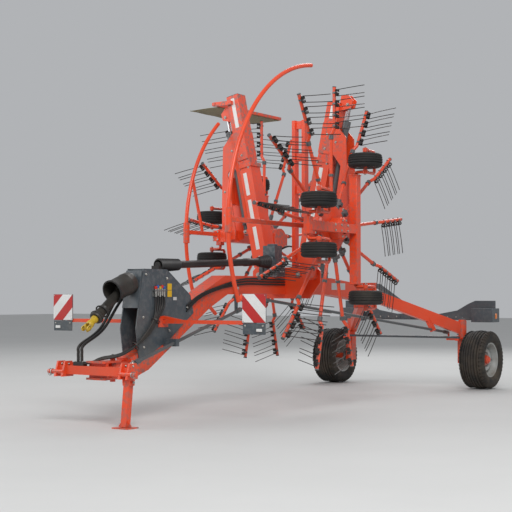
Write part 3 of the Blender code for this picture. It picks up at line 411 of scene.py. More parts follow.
def material(name, build):
    found = bpy.data.materials.get(name)
    if found:
        return found
    made = bpy.data.materials.new(name)
    made.use_nodes = True
    tree = made.node_tree
    build(tree, tree.nodes["Principled BSDF"])
    return made


def bump(tree, shader, height, strength, distance):
    made = tree.nodes.new("ShaderNodeBump")
    made.inputs["Strength"].default_value = strength
    made.inputs["Distance"].default_value = distance
    tree.links.new(height, made.inputs["Height"])
    tree.links.new(made.outputs["Normal"], shader.inputs["Normal"])


def rgba(colour, gain=1.0):
    return (*(channel * gain for channel in colour), 1.0)


def mottled(tree, colour, dark, light, scale, detail=5.0, low=0.3):
    """A colour that drifts between a darker and a lighter shade of itself."""
    mix = ramp(tree, noise(tree, scale, detail), low, 0.7)
    return blend_colours(tree, mix, rgba(colour, dark), rgba(colour, light))


def uneven(tree, base, spread, scale, detail=4.0):
    """A roughness that varies over the surface."""
    return sums(tree, "ADD", sums(tree, "MULTIPLY", noise(tree, scale, detail), spread), base)


def dusted(tree, shader, shade, amount, top):
    """Gives the shader its colour under road dust, and returns the dust's mask."""
    dust = use_group(tree, dust_group(), Amount=amount, Top=top)
    tree.links.new(blend_colours(tree, dust, shade, rgba(colours().dust)), shader.inputs["Base Color"])
    return dust


def glossy(shader, roughness, coat):
    shader.inputs["Roughness"].default_value = roughness
    shader.inputs["Coat Weight"].default_value = coat


def painted(name, colour, roughness=0.36, worn=0.7, dusty=0.45, coat=0.25, bare=(0.16, 0.14, 0.13)):
    """Sprayed paint with a slight peel, chipped edges and dust that thickens towards the ground."""

    def build(tree, shader):
        wear = use_group(tree, edge_wear_group(), Amount=worn, Scale=22.0)
        shade = blend_colours(tree, wear, mottled(tree, colour, 0.86, 1.08, 1.6, low=0.35), rgba(bare))
        dust = dusted(tree, shader, shade, dusty, 1.6)
        rough = uneven(tree, roughness - 0.08, 0.16, 7.0, 6.0)
        rough = sums(tree, "ADD", rough, sums(tree, "MULTIPLY", dust, 0.4))
        tree.links.new(rough, shader.inputs["Roughness"])
        shader.inputs["Coat Weight"].default_value = coat
        shader.inputs["Coat Roughness"].default_value = 0.18
        bump(tree, shader, noise(tree, 260.0, 2.0), 0.05, 0.001)

    return material(name, build)


def red_paint():
    return painted("Red paint", colours().paint)


def slate_paint():
    return painted("Slate paint", colours().slate, roughness=0.42, worn=0.4, dusty=0.5,
                   bare=(0.2, 0.2, 0.2))


def grey_paint():
    return painted("Grey paint", (0.085, 0.095, 0.10), roughness=0.38, worn=0.4, dusty=0.35)


def rim_paint():
    return painted("Rim paint", (0.42, 0.44, 0.43), roughness=0.4, worn=0.2, dusty=0.9, coat=0.1)


def yellow_paint():
    return painted("Yellow paint", (0.55, 0.36, 0.01), roughness=0.42, worn=0.8, dusty=0.4)


def blue_paint():
    return painted("Blue cap", (0.01, 0.09, 0.35), roughness=0.35, worn=0.1, dusty=0.2)


def metal(name, colour, roughness, dusty):
    def build(tree, shader):
        dust = dusted(tree, shader, mottled(tree, colour, 0.75, 1.1, 30.0), dusty, 2.2)
        shader.inputs["Metallic"].default_value = 1.0
        rough = uneven(tree, roughness - 0.1, 0.25, 60.0)
        rough = sums(tree, "ADD", rough, sums(tree, "MULTIPLY", dust, 0.5))
        tree.links.new(rough, shader.inputs["Roughness"])

    return material(name, build)


def zinc():
    return metal("Zinc plate", (0.50, 0.49, 0.46), 0.38, 0.25)


def spring_steel():
    return metal("Spring steel", (0.085, 0.08, 0.078), 0.46, 0.15)


def chrome():
    return metal("Chrome", (0.78, 0.79, 0.80), 0.16, 0.05)


def moulded(name, colour, roughness, grain=220.0, dusty=0.35):
    def build(tree, shader):
        dusted(tree, shader, mottled(tree, colour, 0.8, 1.2, 4.0), dusty, 2.0)
        tree.links.new(uneven(tree, roughness - 0.1, 0.2, 9.0), shader.inputs["Roughness"])
        bump(tree, shader, noise(tree, grain, 3.0), 0.18, 0.001)

    return material(name, build)


def rubber():
    return moulded("Tyre rubber", tuple(colours().rubber), 0.78, 160.0, 0.55)


def black_plastic():
    return moulded("Black plastic", (0.014, 0.014, 0.015), 0.5)


def guard_plastic():
    return moulded("Guard plastic", (0.022, 0.020, 0.017), 0.46)


def hose_rubber():
    return moulded("Hose rubber", (0.014, 0.014, 0.014), 0.55, 400.0, 0.25)


def red_lens():
    def build(tree, shader):
        ribs = tree.nodes.new("ShaderNodeTexWave")
        ribs.inputs["Scale"].default_value = 40.0
        tree.links.new(tree.nodes.new("ShaderNodeTexCoord").outputs["Object"], ribs.inputs["Vector"])
        shade = blend_colours(tree, ribs.outputs["Fac"], (0.42, 0.008, 0.006, 1), (0.60, 0.02, 0.012, 1))
        tree.links.new(shade, shader.inputs["Base Color"])
        glossy(shader, 0.12, 0.6)
        bump(tree, shader, ribs.outputs["Fac"], 0.3, 0.001)

    return material("Red lens", build)


def amber_lens():
    def build(tree, shader):
        shade = blend_colours(tree, noise(tree, 90.0), (0.75, 0.16, 0.01, 1), (0.95, 0.28, 0.02, 1))
        tree.links.new(shade, shader.inputs["Base Color"])
        glossy(shader, 0.12, 0.6)

    return material("Amber lens", build)


def reflective_white():
    def build(tree, shader):
        cells = tree.nodes.new("ShaderNodeTexVoronoi")
        cells.inputs["Scale"].default_value = 320.0
        tree.links.new(tree.nodes.new("ShaderNodeTexCoord").outputs["Object"], cells.inputs["Vector"])
        shade = blend_colours(tree, cells.outputs["Distance"], (0.86, 0.86, 0.84, 1), (0.62, 0.62, 0.60, 1))
        dusted(tree, shader, shade, 0.3, 1.8)
        glossy(shader, 0.3, 0.4)

    return material("Reflective white", build)


STRIPE_PERIOD = 0.30  # along a diagonal, as height plus distance from the middle of the machine


def striped(side):
    """Red and white reflective stripes, which fall outwards on both panels."""
    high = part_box("left_warning_panel")[1]
    corner = high.z + high.x

    def build(tree, shader):
        split = tree.nodes.new("ShaderNodeSeparateXYZ")
        tree.links.new(tree.nodes.new("ShaderNodeTexCoord").outputs["Object"], split.inputs["Vector"])
        outward = sums(tree, "MULTIPLY", split.outputs["X"], float(side))
        along = sums(tree, "SUBTRACT", sums(tree, "ADD", outward, split.outputs["Z"]), corner)
        part = sums(tree, "FRACT", sums(tree, "ADD", sums(tree, "DIVIDE", along, STRIPE_PERIOD), 8.0), 0.0)
        band = sums(tree, "GREATER_THAN", part, 0.5)
        grain = ramp(tree, noise(tree, 150.0, 3.0), 0.3, 0.7)
        red = blend_colours(tree, grain, (0.42, 0.006, 0.008, 1), (0.56, 0.014, 0.012, 1))
        white = blend_colours(tree, grain, (0.66, 0.66, 0.65, 1), (0.82, 0.82, 0.81, 1))
        dusted(tree, shader, blend_colours(tree, band, white, red), 0.3, 2.2)
        glossy(shader, 0.32, 0.5)

    return material("Warning stripes " + ("left" if side > 0 else "right"), build)


def curtain_cloth():
    def build(tree, shader):
        coordinates = tree.nodes.new("ShaderNodeTexCoord").outputs["Object"]
        weave = []
        for direction in ("X", "Y"):
            wave = tree.nodes.new("ShaderNodeTexWave")
            wave.bands_direction = direction
            wave.inputs["Scale"].default_value = 130.0
            tree.links.new(coordinates, wave.inputs["Vector"])
            weave.append(wave.outputs["Fac"])
        woven = sums(tree, "MULTIPLY", weave[0], weave[1])
        dusted(tree, shader, mottled(tree, tuple(colours().cloth), 0.75, 1.25, 2.5, 6.0), 0.5, 6.0)
        shader.inputs["Roughness"].default_value = 0.85
        shader.inputs["Sheen Weight"].default_value = 0.2
        bump(tree, shader, woven, 0.35, 0.001)

    return material("Curtain cloth", build)


def red_cap():
    return moulded("Red cap", (0.55, 0.02, 0.01), 0.4, 200.0, 0.2)


def label_film(name, colour):
    def build(tree, shader):
        shade = blend_colours(tree, noise(tree, 60.0), rgba(colour, 0.85), rgba(colour, 1.1))
        tree.links.new(shade, shader.inputs["Base Color"])
        shader.inputs["Roughness"].default_value = 0.35

    return material(name, build)


def yellow_label():
    return label_film("Yellow label", (0.70, 0.42, 0.01))


def pale_label():
    return label_film("Pale label", (0.55, 0.56, 0.55))


FINISHES = {
    "paint": red_paint, "slate": slate_paint, "grey": grey_paint, "chrome": chrome, "tyre": rubber,
    "rim": rim_paint, "lamp": red_lens, "panel": reflective_white, "curtain": curtain_cloth,
    "black_plastic": black_plastic, "hose": hose_rubber, "guard": guard_plastic, "yellow": yellow_paint,
}


class RAKE_OT_metalwork(bpy.types.Operator):
    """Gives each packed sub-part its finish, and rounds its edges"""

    bl_idname = "rake.metalwork"
    bl_label = "Finish Metalwork"

    def execute(self, context):
        slots = {part["node"]: part["material_slot"] for part in frame["record"]["subparts"]}
        for name, node in frame["nodes"].items():
            node.data.materials.clear()
            node.data.materials.append(FINISHES[slots[name]]())
            if slots[name] in ("tyre", "hose", "chrome"):
                node.data.shade_smooth()
                node.data.set_sharp_from_angle(angle=math.radians(40))
                continue
            rounded(node, harden=True)
        return {"FINISHED"}


# Rotors


def lifted(turn):
    return 50 < math.degrees(turn) % 360 < 215


def arm_frame(side, turn):
    """The rotor's own axes at an arm: its radial, the way it sweeps, and the crop side."""
    radial = Vector((0, math.sin(turn), math.cos(turn)))
    return radial, Vector((0, math.cos(turn), -math.sin(turn))), Vector((side, 0, 0))


COIL_R = 0.021
COIL_TURNS = 3
COIL_STEPS = 9


def tine_fork(shape, centre, radial, reach, wire):
    """A double spring tine: two coils beside the arm, joined in the middle, and two long fingers."""
    across = radial.cross(reach).normalized()
    middle = centre + reach * (ARM_R + COIL_R + 0.006)
    count = COIL_TURNS * COIL_STEPS
    for sign in (-1, 1):
        path = []
        for k in range(count + 1):
            turn = 2 * math.pi * k / COIL_STEPS
            out = across * math.cos(turn) + reach * math.sin(turn)
            path.append(middle + radial * sign * (0.010 + 0.028 * k / count) + out * COIL_R)
        start = path[-1]
        length = TINE_LENGTH - ARM_R - COIL_R - 0.010
        for share in (0.06, 0.25, 0.5, 0.75, 0.92, 1.0):
            sweep = across * 0.018 * share * share
            path.append(start + reach * length * share + sweep + radial * sign * 0.006 * share)
        shape.tube(path, wire, 5)


def rotor(side, name):
    """The hub, cranked tine arms, clamps and tines of one rotor."""
    hub = joint_at(f"{name}_rotor_spin")
    body = f"{name}_rotor"
    arms, clamps, tines, cover = Shape(), Shape(), Shape(), Shape()
    for i in range(ARM_COUNT):
        turn = 2 * math.pi * i / ARM_COUNT
        radial, sweep, crop = arm_frame(side, turn)
        route = [hub + radial * 0.20, hub + radial * 0.6, hub + radial * (ARM_CRANK_R - 0.05),
                 hub + radial * ARM_CRANK_R + crop * ARM_CRANK * 0.12,
                 hub + radial * (ARM_CRANK_R + 0.05) + crop * ARM_CRANK * 0.88,
                 hub + radial * (ARM_CRANK_R + 0.10) + crop * ARM_CRANK,
                 hub + radial * ARM_TIP_R + crop * ARM_CRANK]
        arms.tube(route, ARM_R, 12)
        for radius, length in ((0.27, 0.13), (0.62, 0.03), (1.06, 0.05)):
            foot = hub + radial * radius
            clamps.tube([foot, foot + radial * length], ARM_R + 0.009, 12)
        clamps.box(hub + radial * 0.335 + crop * 0.03, (0.05, 0.05, 0.05), sweep, crop)
        clamps.bolt(hub + radial * 0.335 + crop * 0.055, crop, 0.010)
        reach = sweep * 0.97 + crop * 0.12 if lifted(turn) else crop * 0.97 - sweep * 0.2
        reach.normalize()
        for k in range(TINES_PER_ARM):
            centre = hub + radial * (TINE_FIRST_R + k * TINE_PITCH) + crop * ARM_CRANK
            tine_fork(tines, centre, radial, reach, sizes().wire)
            clamps.box(centre + reach * 0.014, (0.020, 0.050, 0.034), radial, reach)
            clamps.bolt(centre - reach * 0.021, -reach, 0.008)
        tip = hub + radial * (ARM_TIP_R - 0.004) + crop * ARM_CRANK
        clamps.disc(tip, radial, ARM_R + 0.003, 0.010, 12)
    crop = Vector((side, 0, 0))
    profile = [(0.074, -0.034), (0.255, -0.034), (0.272, -0.025), (0.285, -0.01), (0.292, 0.0),
               (0.285, 0.01), (0.272, 0.025), (0.20, 0.034), (0.074, 0.034)]
    cover.turned(profile, hub, crop, 52)
    for k in range(26):
        turn = 2 * math.pi * (k + 0.5) / 26
        radial = arm_frame(side, turn)[0]
        cover.bolt(hub + radial * 0.235 - crop * 0.034, -crop, 0.009)
    first = arms.made(f"{name}_tine_arms", red_paint, body, slot="paint")
    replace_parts(first, f"{name}_rotor")
    cover.made(f"{name}_rotor_hub", red_paint, body, slot="paint")
    clamps.made(f"{name}_arm_clamps", grey_paint, body, slot="grey")
    tines.made(f"{name}_spring_tines", spring_steel, body, 60, slot="grey")


class RAKE_OT_rotors(bpy.types.Operator):
    """Makes the rotors: hub, cranked tine arms, clamps and double spring tines"""

    bl_idname = "rake.rotors"
    bl_label = "Make Rotors"

    def execute(self, context):
        for side, name in SIDES:
            rotor(side, name)
        return {"FINISHED"}


# Wheels


def mirrored(outline):
    """The other half of an outline, in order."""
    return [(r, -h) for r, h in outline[::-1]]


def road_tyre(side, name):
    centre = joint_at(f"{name}_wheel_spin")
    low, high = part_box(f"{name}_tyre")
    radius, half = (high.z - low.z) / 2, (high.x - low.x) / 2
    rim = 0.2353
    lug = sizes().lug
    base = radius - lug
    shape = Shape()
    shoulder = [(rim, -half + 0.052), (rim + 0.016, -half + 0.036), (rim + 0.040, -half + 0.014),
                (rim + 0.070, -half + 0.003), (rim + 0.100, -half + 0.003), (base - 0.040, -half + 0.012),
                (base - 0.018, -half + 0.026), (base - 0.006, -half + 0.044)]
    outline = list(shoulder)
    ribs, groove = 7, 0.008
    tread = half - 0.052
    pitch = 2 * tread / ribs
    for k in range(ribs):
        first = -tread + k * pitch
        drop = 0.0045 * abs(k - (ribs - 1) / 2) ** 1.5
        crown, bottom, last = radius - drop - 0.001, base - drop, first + pitch - groove / 2
        outline += [(bottom, first), (bottom, first + groove / 2), (crown, first + groove / 2 + 0.003),
                    (crown, last - 0.003), (bottom, last)]
    outline += mirrored(shoulder)
    shape.turned(outline, centre, X_AXIS, 88)
    blocks = 44
    for k in range(blocks):
        for sign in (-1, 1):
            start = 2 * math.pi * (k + (0.5 if sign > 0 else 0.0)) / blocks
            rings = []
            for inset, top in ((0.050, 0.014), (0.022, 0.030), (0.006, 0.060)):
                ring = []
                for depth, turn in ((-0.012, 0.0), (-0.012, 0.56), (0.006, 0.50), (0.006, 0.06)):
                    angle = start + turn * 2 * math.pi / blocks
                    r = radius - top + depth
                    ring.append(centre + Vector((sign * (half - inset - (0.006 if depth < 0 else 0.0)),
                                                 r * math.cos(angle), r * math.sin(angle))))
                rings.append(ring)
            shape.loft(rings)
    piece = shape.made(f"{name}_road_tyre", rubber, f"{name}_road_wheel", 28, slot="tyre")
    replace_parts(piece, f"{name}_tyre")
    outside = Vector((side, 0, 0))
    well = half - 0.05
    face, hub, bolts = Shape(), Shape(), Shape()
    flange = rim + 0.012
    profile = [(rim - 0.001, -well), (flange, -well - 0.006), (flange, -well - 0.012),
               (rim - 0.010, -well - 0.008), (rim - 0.022, -well + 0.02), (rim - 0.040, -well + 0.05),
               (rim - 0.042, 0.02), (rim - 0.075, 0.055), (0.150, 0.072), (0.118, 0.062), (0.105, 0.030),
               (0.043, 0.028), (0.043, 0.038), (0.100, 0.040), (0.112, 0.074), (0.150, 0.084),
               (rim - 0.070, 0.066), (rim - 0.030, 0.028), (rim - 0.028, well - 0.05),
               (rim - 0.010, well - 0.02), (rim - 0.008, well + 0.006), (flange, well + 0.012),
               (flange, well + 0.006), (rim - 0.001, well)]
    profile = [(min(r, rim - 0.0005) if abs(h) <= well else r, h) for r, h in profile]
    face.turned(profile, centre, outside, 60)
    rim_piece = face.made(f"{name}_wheel_rim", rim_paint, f"{name}_road_wheel", 30, slot="rim")
    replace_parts(rim_piece, f"{name}_rim")
    hub.disc(centre + outside * 0.038, outside, 0.088, 0.030, 40)
    hub.disc(centre + outside * 0.066, outside, 0.058, 0.050, 40, 0.008)
    hub.disc(centre + outside * 0.114, outside, 0.040, 0.016, 32, 0.006)
    hub.made(f"{name}_wheel_hub", red_paint, f"{name}_road_wheel", slot="paint")
    for k in range(8):
        spot = round_wheel(2 * math.pi * k / 8)
        bolts.bolt(centre + outside * 0.067 + spot * 0.075, outside, 0.011)
    valve = centre + outside * 0.03 + Y_AXIS * 0.186
    bolts.tube([valve, valve + outside * 0.07 - Y_AXIS * 0.010], 0.005, 8)
    bolts.made(f"{name}_wheel_nuts", zinc, f"{name}_road_wheel", slot="grey")


def ground_wheel(side, name, place):
    centre = joint_at(f"{name}_{place}_spin")
    body = f"{name}_{place}_wheel"
    low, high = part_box(body)
    radius, half = (high.x - low.x) / 2, (high.z - low.z) / 2
    tyre, disc = Shape(), Shape()
    shoulder = [(0.105, -half + 0.020), (0.118, -half + 0.006), (0.140, -half), (0.165, -half + 0.002),
                (0.186, -half + 0.010), (0.198, -half + 0.024)]
    outline = list(shoulder)
    for k in range(4):
        left = -half + 0.030 + k * (2 * half - 0.060) / 4
        wide = (2 * half - 0.060) / 4
        crown = radius - 0.0035 * abs(k - 1.5)
        outline += [(crown, left + 0.003), (crown, left + wide - 0.010),
                    (crown - 0.008, left + wide - 0.008), (crown - 0.008, left + wide)]
    outline += mirrored(shoulder)
    tyre.turned(outline, centre, Z_AXIS, 56)
    piece = tyre.made(f"{name}_{place}_tyre", rubber, body, 30, slot="tyre")
    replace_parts(piece, body)
    rim = [(0.104, -half + 0.018), (0.110, -half + 0.010), (0.106, -half + 0.006), (0.094, -half + 0.022),
           (0.088, -0.020), (0.050, -0.012), (0.034, -0.040), (0.034, -0.064), (0.016, -0.0645)]
    rim += mirrored(rim)
    disc.turned(rim, centre, Z_AXIS, 40)
    for k in range(4):
        turn = math.pi / 2 * k
        spot = Vector((math.cos(turn), math.sin(turn), 0)) * 0.062
        for sign in (-1, 1):
            disc.bolt(centre + spot + Z_AXIS * sign * 0.0125, Z_AXIS * sign, 0.008)
    disc.made(f"{name}_{place}_rim", grey_paint, body, 30, slot="grey")


class RAKE_OT_wheels(bpy.types.Operator):
    """Makes the road wheels and the rotors' ground wheels"""

    bl_idname = "rake.wheels"
    bl_label = "Make Wheels"

    def execute(self, context):
        for side, name in SIDES:
            road_tyre(side, name)
            for place in GROUND_WHEELS:
                ground_wheel(side, name, place)
        return {"FINISHED"}


# Rotor frames


FRONT_PAIR = (-0.80, 0.28)  # from the hub: along the machine, and up or down
MAIN_PAIR = (0.25, 0.81)
CHASSIS_OUT = 0.18
WHEEL_OUT = 0.32
FORK_R = 0.019
HOOP_R = 1.93
HOOP_IN = 0.11
HOOP_TOP = {-1: 50, 1: 82}  # degrees above level where it ends
HOOP_BOTTOM = -26
HOOP_TUBE_R = 0.024


def wheel_fork(shape, bolts, hub, side, along, reach, sign):
    """A bent tube from the frame round a ground wheel, with its axle."""
    low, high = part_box("left_main_upper_wheel")
    radius, half = (high.x - low.x) / 2, (high.z - low.z) / 2
    out, x = Vector((side * WHEEL_OUT, 0, 0)), Vector((side * CHASSIS_OUT, 0, 0))
    gap = half + 0.045
    wheel = hub + out + Vector((0, along, sign * reach))
    near, far = -Z_AXIS * sign * gap, Z_AXIS * sign * gap
    root = hub + x + Vector((0, along, sign * reach)) + near
    bend = smooth_route([root - Z_AXIS * sign * 0.09, root - Z_AXIS * sign * 0.02, root + (out - x) * 0.3,
                         wheel + near], 5)
    shape.tube(bend, FORK_R, 14)
    back = Vector((-side * 0.02, radius + 0.05, 0))
    corner = 0.05
    route = [wheel + near, wheel + near + back * 0.5, wheel + near + back - Y_AXIS * corner * 0.4,
             wheel + near + back + Z_AXIS * sign * corner * 0.4, wheel + back,
             wheel + far + back - Z_AXIS * sign * corner * 0.4, wheel + far + back - Y_AXIS * corner * 0.4,
             wheel + far + back * 0.5, wheel + far]
    shape.tube(route, FORK_R, 14)
    for end, way in ((near, -sign), (far, sign)):
        shape.disc(wheel + end - Z_AXIS * way * 0.024, Z_AXIS * way, 0.030, 0.048, 20)
        bolts.bolt(wheel + end + Z_AXIS * way * 0.022, Z_AXIS * way, 0.013)
        inner = wheel + end - Z_AXIS * way * (gap - 0.066)
        shape.tube([wheel + end - Z_AXIS * way * 0.02, inner], 0.021, 14)
    shape.tube([wheel + near, wheel + far], 0.0138, 12)


def rotor_frame(side, name):
    """The wheel frame beyond one rotor, its forks, and the hoop ahead of it."""
    hub = joint_at(f"{name}_rotor_spin")
    crop = Vector((side, 0, 0))
    body = f"{name}_boom_slide"
    frame_shape, forks, bolts = Shape(), Shape(), Shape()
    x = crop * CHASSIS_OUT
    frame_shape.tube([hub - crop * 0.03, hub + x], 0.070, 32)
    frame_shape.disc(hub + crop * 0.036, crop, 0.130, CHASSIS_OUT - 0.036, 40)
    front, main = Y_AXIS * FRONT_PAIR[0], Y_AXIS * MAIN_PAIR[0]
    reach = MAIN_PAIR[1] - 0.155
    middle = (front + main + Y_AXIS * 0.06) / 2
    frame_shape.box(hub + x + middle, (0.09, abs(FRONT_PAIR[0]) + MAIN_PAIR[0] + 0.06, 0.11))
    frame_shape.box(hub + x + main, (0.10, 0.10, 2 * reach))
    frame_shape.box(hub + x + front, (0.08, 0.08, 0.20))
    for sign in (-1, 1):
        frame_shape.box(hub + x + main + Z_AXIS * sign * (reach - 0.01), (0.112, 0.112, 0.02))
        for k in range(3):
            spot = hub + x + crop * 0.046 + Y_AXIS * (-0.28 + 0.14 * k) + Z_AXIS * sign * 0.032
            bolts.bolt(spot, crop, 0.011)
    for k in range(8):
        spot = round_wheel(math.pi / 4 * (k + 0.5)) * 0.10
        bolts.bolt(hub + x + spot, crop, 0.011)
    for along, high in (FRONT_PAIR, MAIN_PAIR):
        for sign in (-1, 1):
            wheel_fork(forks, bolts, hub, side, along, high, sign)
    piece = frame_shape.made(f"{name}_wheel_frame", red_paint, body, slot="paint")
    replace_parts(rounded(piece), f"{name}_rotor_chassis")
    forks.made(f"{name}_wheel_forks", red_paint, body, 40, slot="paint")
    bolts.made(f"{name}_wheel_frame_bolts", zinc, body, slot="grey")
    arc, stay = Shape(), Shape()
    base = hub - crop * HOOP_IN
    points = []
    steps = (HOOP_TOP[side] - HOOP_BOTTOM) // 2
    for k in range(steps + 1):
        turn = math.radians(HOOP_TOP[side] - 2 * k)
        points.append(base + Vector((0, -HOOP_R * math.cos(turn), HOOP_R * math.sin(turn))))
    last = [points[-1], base + Vector((0, -1.62, -0.80)), base + Vector((0, -1.30, -1.02))]
    points += smooth_route(last, 6)[1:]
    arc.tube(points, HOOP_TUBE_R, 16)
    for end, way in ((points[0], points[0] - points[1]), (points[-1], points[-1] - points[-2])):
        arc.disc(end, way, HOOP_TUBE_R, 0.004, 16)
    socket = base - Y_AXIS * (HOOP_R - 0.01)
    arc.tube([socket - Z_AXIS * 0.12, socket + Z_AXIS * 0.14], 0.040, 24)
    plate = Vector((base.x, min(hub.y, HINGE.y) - 0.2103, base.z))
    start, nose = plate + Z_AXIS * 0.02, base + Vector((0, -HOOP_R, 0.02))
    stay.box((start + nose) / 2, (0.05, start.y - nose.y, 0.05))
    stay.box(plate, (0.09, 0.02, 0.14))
    low, high = base + Vector((0, -HOOP_R + 0.35, 0.02)), base + Vector((0, -HOOP_R + 0.13, 0.72))
    stay.box((low + high) / 2, (0.03, 0.03, (high - low).length), X_AXIS, high - low)
    piece = arc.made(f"{name}_hoop_tube", red_paint, body, 40, slot="paint")
    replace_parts(piece, f"{name}_guard_hoop")
    rounded(stay.made(f"{name}_hoop_stays", red_paint, body, slot="paint"))
    nuts = Shape()
    for y in (-0.035, 0.035):
        for z in (-0.05, 0.05):
            nuts.bolt(plate + Vector((y, -0.01, z)), -Y_AXIS, 0.009)
    nuts.bolt(socket + Z_AXIS * 0.14, Z_AXIS, 0.014)
    nuts.made(f"{name}_hoop_bolts", zinc, body, slot="grey")


class RAKE_OT_rotor_frames(bpy.types.Operator):
    """Makes the wheel frame beyond each rotor and the round hoop ahead of it"""

    bl_idname = "rake.rotor_frames"
    bl_label = "Make Rotor Frames"

    def execute(self, context):
        for side, name in SIDES:
            rotor_frame(side, name)
        return {"FINISHED"}


# Booms and their cylinders


HOOK_ALONG = 0.62 + 1.36 + 0.20  # the cylinder's foot, its length, and the rod standing out
BEAM_END = {-1: 2.42, 1: 2.18}  # along each boom from its hinge
CARRIER_BOLTS = ((1.60, 0.0), (1.78, 0.0), (1.70, 0.14), (1.20, 0.36), (0.90, 0.42), (0.62, 0.42))


def boom_strip(shape, side, first, last, face):
    """A reflective strip along a boom, on the face that far forward of its middle."""
    up, out = boom_axes(side)
    low, high = boom_point(side, first, 0.0, face + 0.0006), boom_point(side, last, 0.0, face + 0.0006)
    shape.box((low + high) / 2, (0.055, 0.0012, last - first), out, up)


def boom_fittings(side, name):
    """The pins, gland, bolts, strips and lift hoses of one boom."""
    up, out = boom_axes(side)
    turning, sliding = f"{name}_boom", f"{name}_boom_slide"
    pins, gland, caps, strips = Shape(), Shape(), Shape(), Shape()
    sleeve_half = BOOM_SIDE / 2 + 0.0188
    for forward in (-1, 1):
        face = Y_AXIS * -forward
        for along, offset in ((0.24, 0.0), (1.42, 0.07), (1.42, -0.07)):
            pins.bolt(boom_point(side, along, offset, forward * sleeve_half), face, 0.012)
        pins.bolt(boom_point(side, 0.62, CYLINDER_OFFSET, forward * 0.059), face, 0.018)
    pins.made(f"{name}_boom_pins", zinc, turning, slot="grey")
    start, end = (boom_point(side, along, CYLINDER_OFFSET) for along in (1.88, 1.984))
    profile = [(0.0245, 0), (0.046, 0), (0.051, 0.006), (0.051, 0.05), (0.046, 0.056),
               (0.046, 0.062), (0.0515, 0.066), (0.0515, 0.100), (0.044, 0.104), (0.0245, 0.104)]
    gland.turned(profile, start, end - start, 32)
    gland.disc(boom_point(side, 0.59, CYLINDER_OFFSET), -up, 0.040, 0.010, 28)
    for along in (0.72, 1.80):
        spot = boom_point(side, along, CYLINDER_OFFSET, 0.036)
        gland.disc(spot, -Y_AXIS, 0.016, 0.026, 16)
        gland.disc(spot - Y_AXIS * 0.026, -Y_AXIS, 0.011, 0.018, 6)
    gland.made(f"{name}_cylinder_glands", grey_paint, turning, slot="grey")
    for forward in (-1, 1):
        pin = boom_point(side, HOOK_ALONG, CYLINDER_OFFSET, forward * 0.056)
        caps.bolt(pin, Y_AXIS * -forward, 0.016)
        for along, offset in CARRIER_BOLTS:
            spot = boom_point(side, along, offset, forward * 0.1063)
            caps.bolt(spot, Y_AXIS * -forward, 0.012)
    caps.made(f"{name}_carrier_bolts", zinc, sliding, slot="grey")
    length = BEAM_END[side]
    plug = Shape()
    across = BOOM_SIDE - 0.004
    plug.box(boom_point(side, length + 0.003, 0), (across, across, 0.006), out, up)
    rounded(plug.made(f"{name}_boom_cap", black_plastic, sliding, slot="black_plastic"))
    for k in range(3):
        first = 0.34 + k * 0.36
        boom_strip(strips, side, first, first + 0.30, sleeve_half)
    strips.made(f"{name}_sleeve_strips", reflective_white, turning, slot="panel")
    upper = Shape()
    boom_strip(upper, side, 1.98, length - 0.04, BOOM_SIDE / 2)
    upper.made(f"{name}_beam_strip", reflective_white, sliding, slot="panel")
    lift = Shape()
    for k in range(2):
        away = 0.030 * k
        target = 0.72 if k else 1.80
        route = [placed(side * (0.05 + away), 4.12 + away, 1.80),
                 placed(side * (0.07 + away), 4.06, 1.92), placed(side * 0.16, 3.90 - away, 1.98),
                 boom_point(side, 0.30, -0.02 + away, -0.15),
                 boom_point(side, 0.52, 0.10 + away, -0.14),
                 boom_point(side, 0.72, 0.125 + away, -0.075)]
        if target > 1:
            route += [boom_point(side, 1.0, 0.13, -0.066), boom_point(side, 1.5, 0.13, -0.066)]
        route.append(boom_point(side, target - 0.03, 0.135 + away, -0.05))
        route.append(boom_point(side, target, 0.175, -0.042))
        lift.tube(smooth_route(route), 0.0095, 10)
    hoses = lift.made(f"{name}_lift_hoses", hose_rubber, None, 60)
    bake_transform(hoses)


class RAKE_OT_booms(bpy.types.Operator):
    """Makes the booms' reflective strips, pins, caps, cylinder glands and lift hoses"""

    bl_idname = "rake.booms"
    bl_label = "Dress Booms"

    def execute(self, context):
        for side, name in SIDES:
            boom_fittings(side, name)
        return {"FINISHED"}


# Drive line

PTO_FRONT, PTO_BELL, PTO_REAR = (-0.16, 0.99), (0.48, 1.45), (3.1558, 1.76)
TOWER_TOP_Z = 1.62
TOWER_SIDE = 0.1126


def bellows(first, last, radius, ribs, depth, wall=0.006):
    """A closed outline with deep round folds, from first to last along its axis."""
    outer = []
    for k in range(ribs * 4 + 1):
        share = k / (ribs * 4)
        r = radius[0] + (radius[1] - radius[0]) * share
        outer.append((r - depth * (0.5 - 0.5 * math.cos(2 * math.pi * ribs * share + math.pi)),
                      first + (last - first) * share))
    inner = [(radius[1] - depth - wall, last), (radius[0] - depth - wall, first)]
    return outer + inner


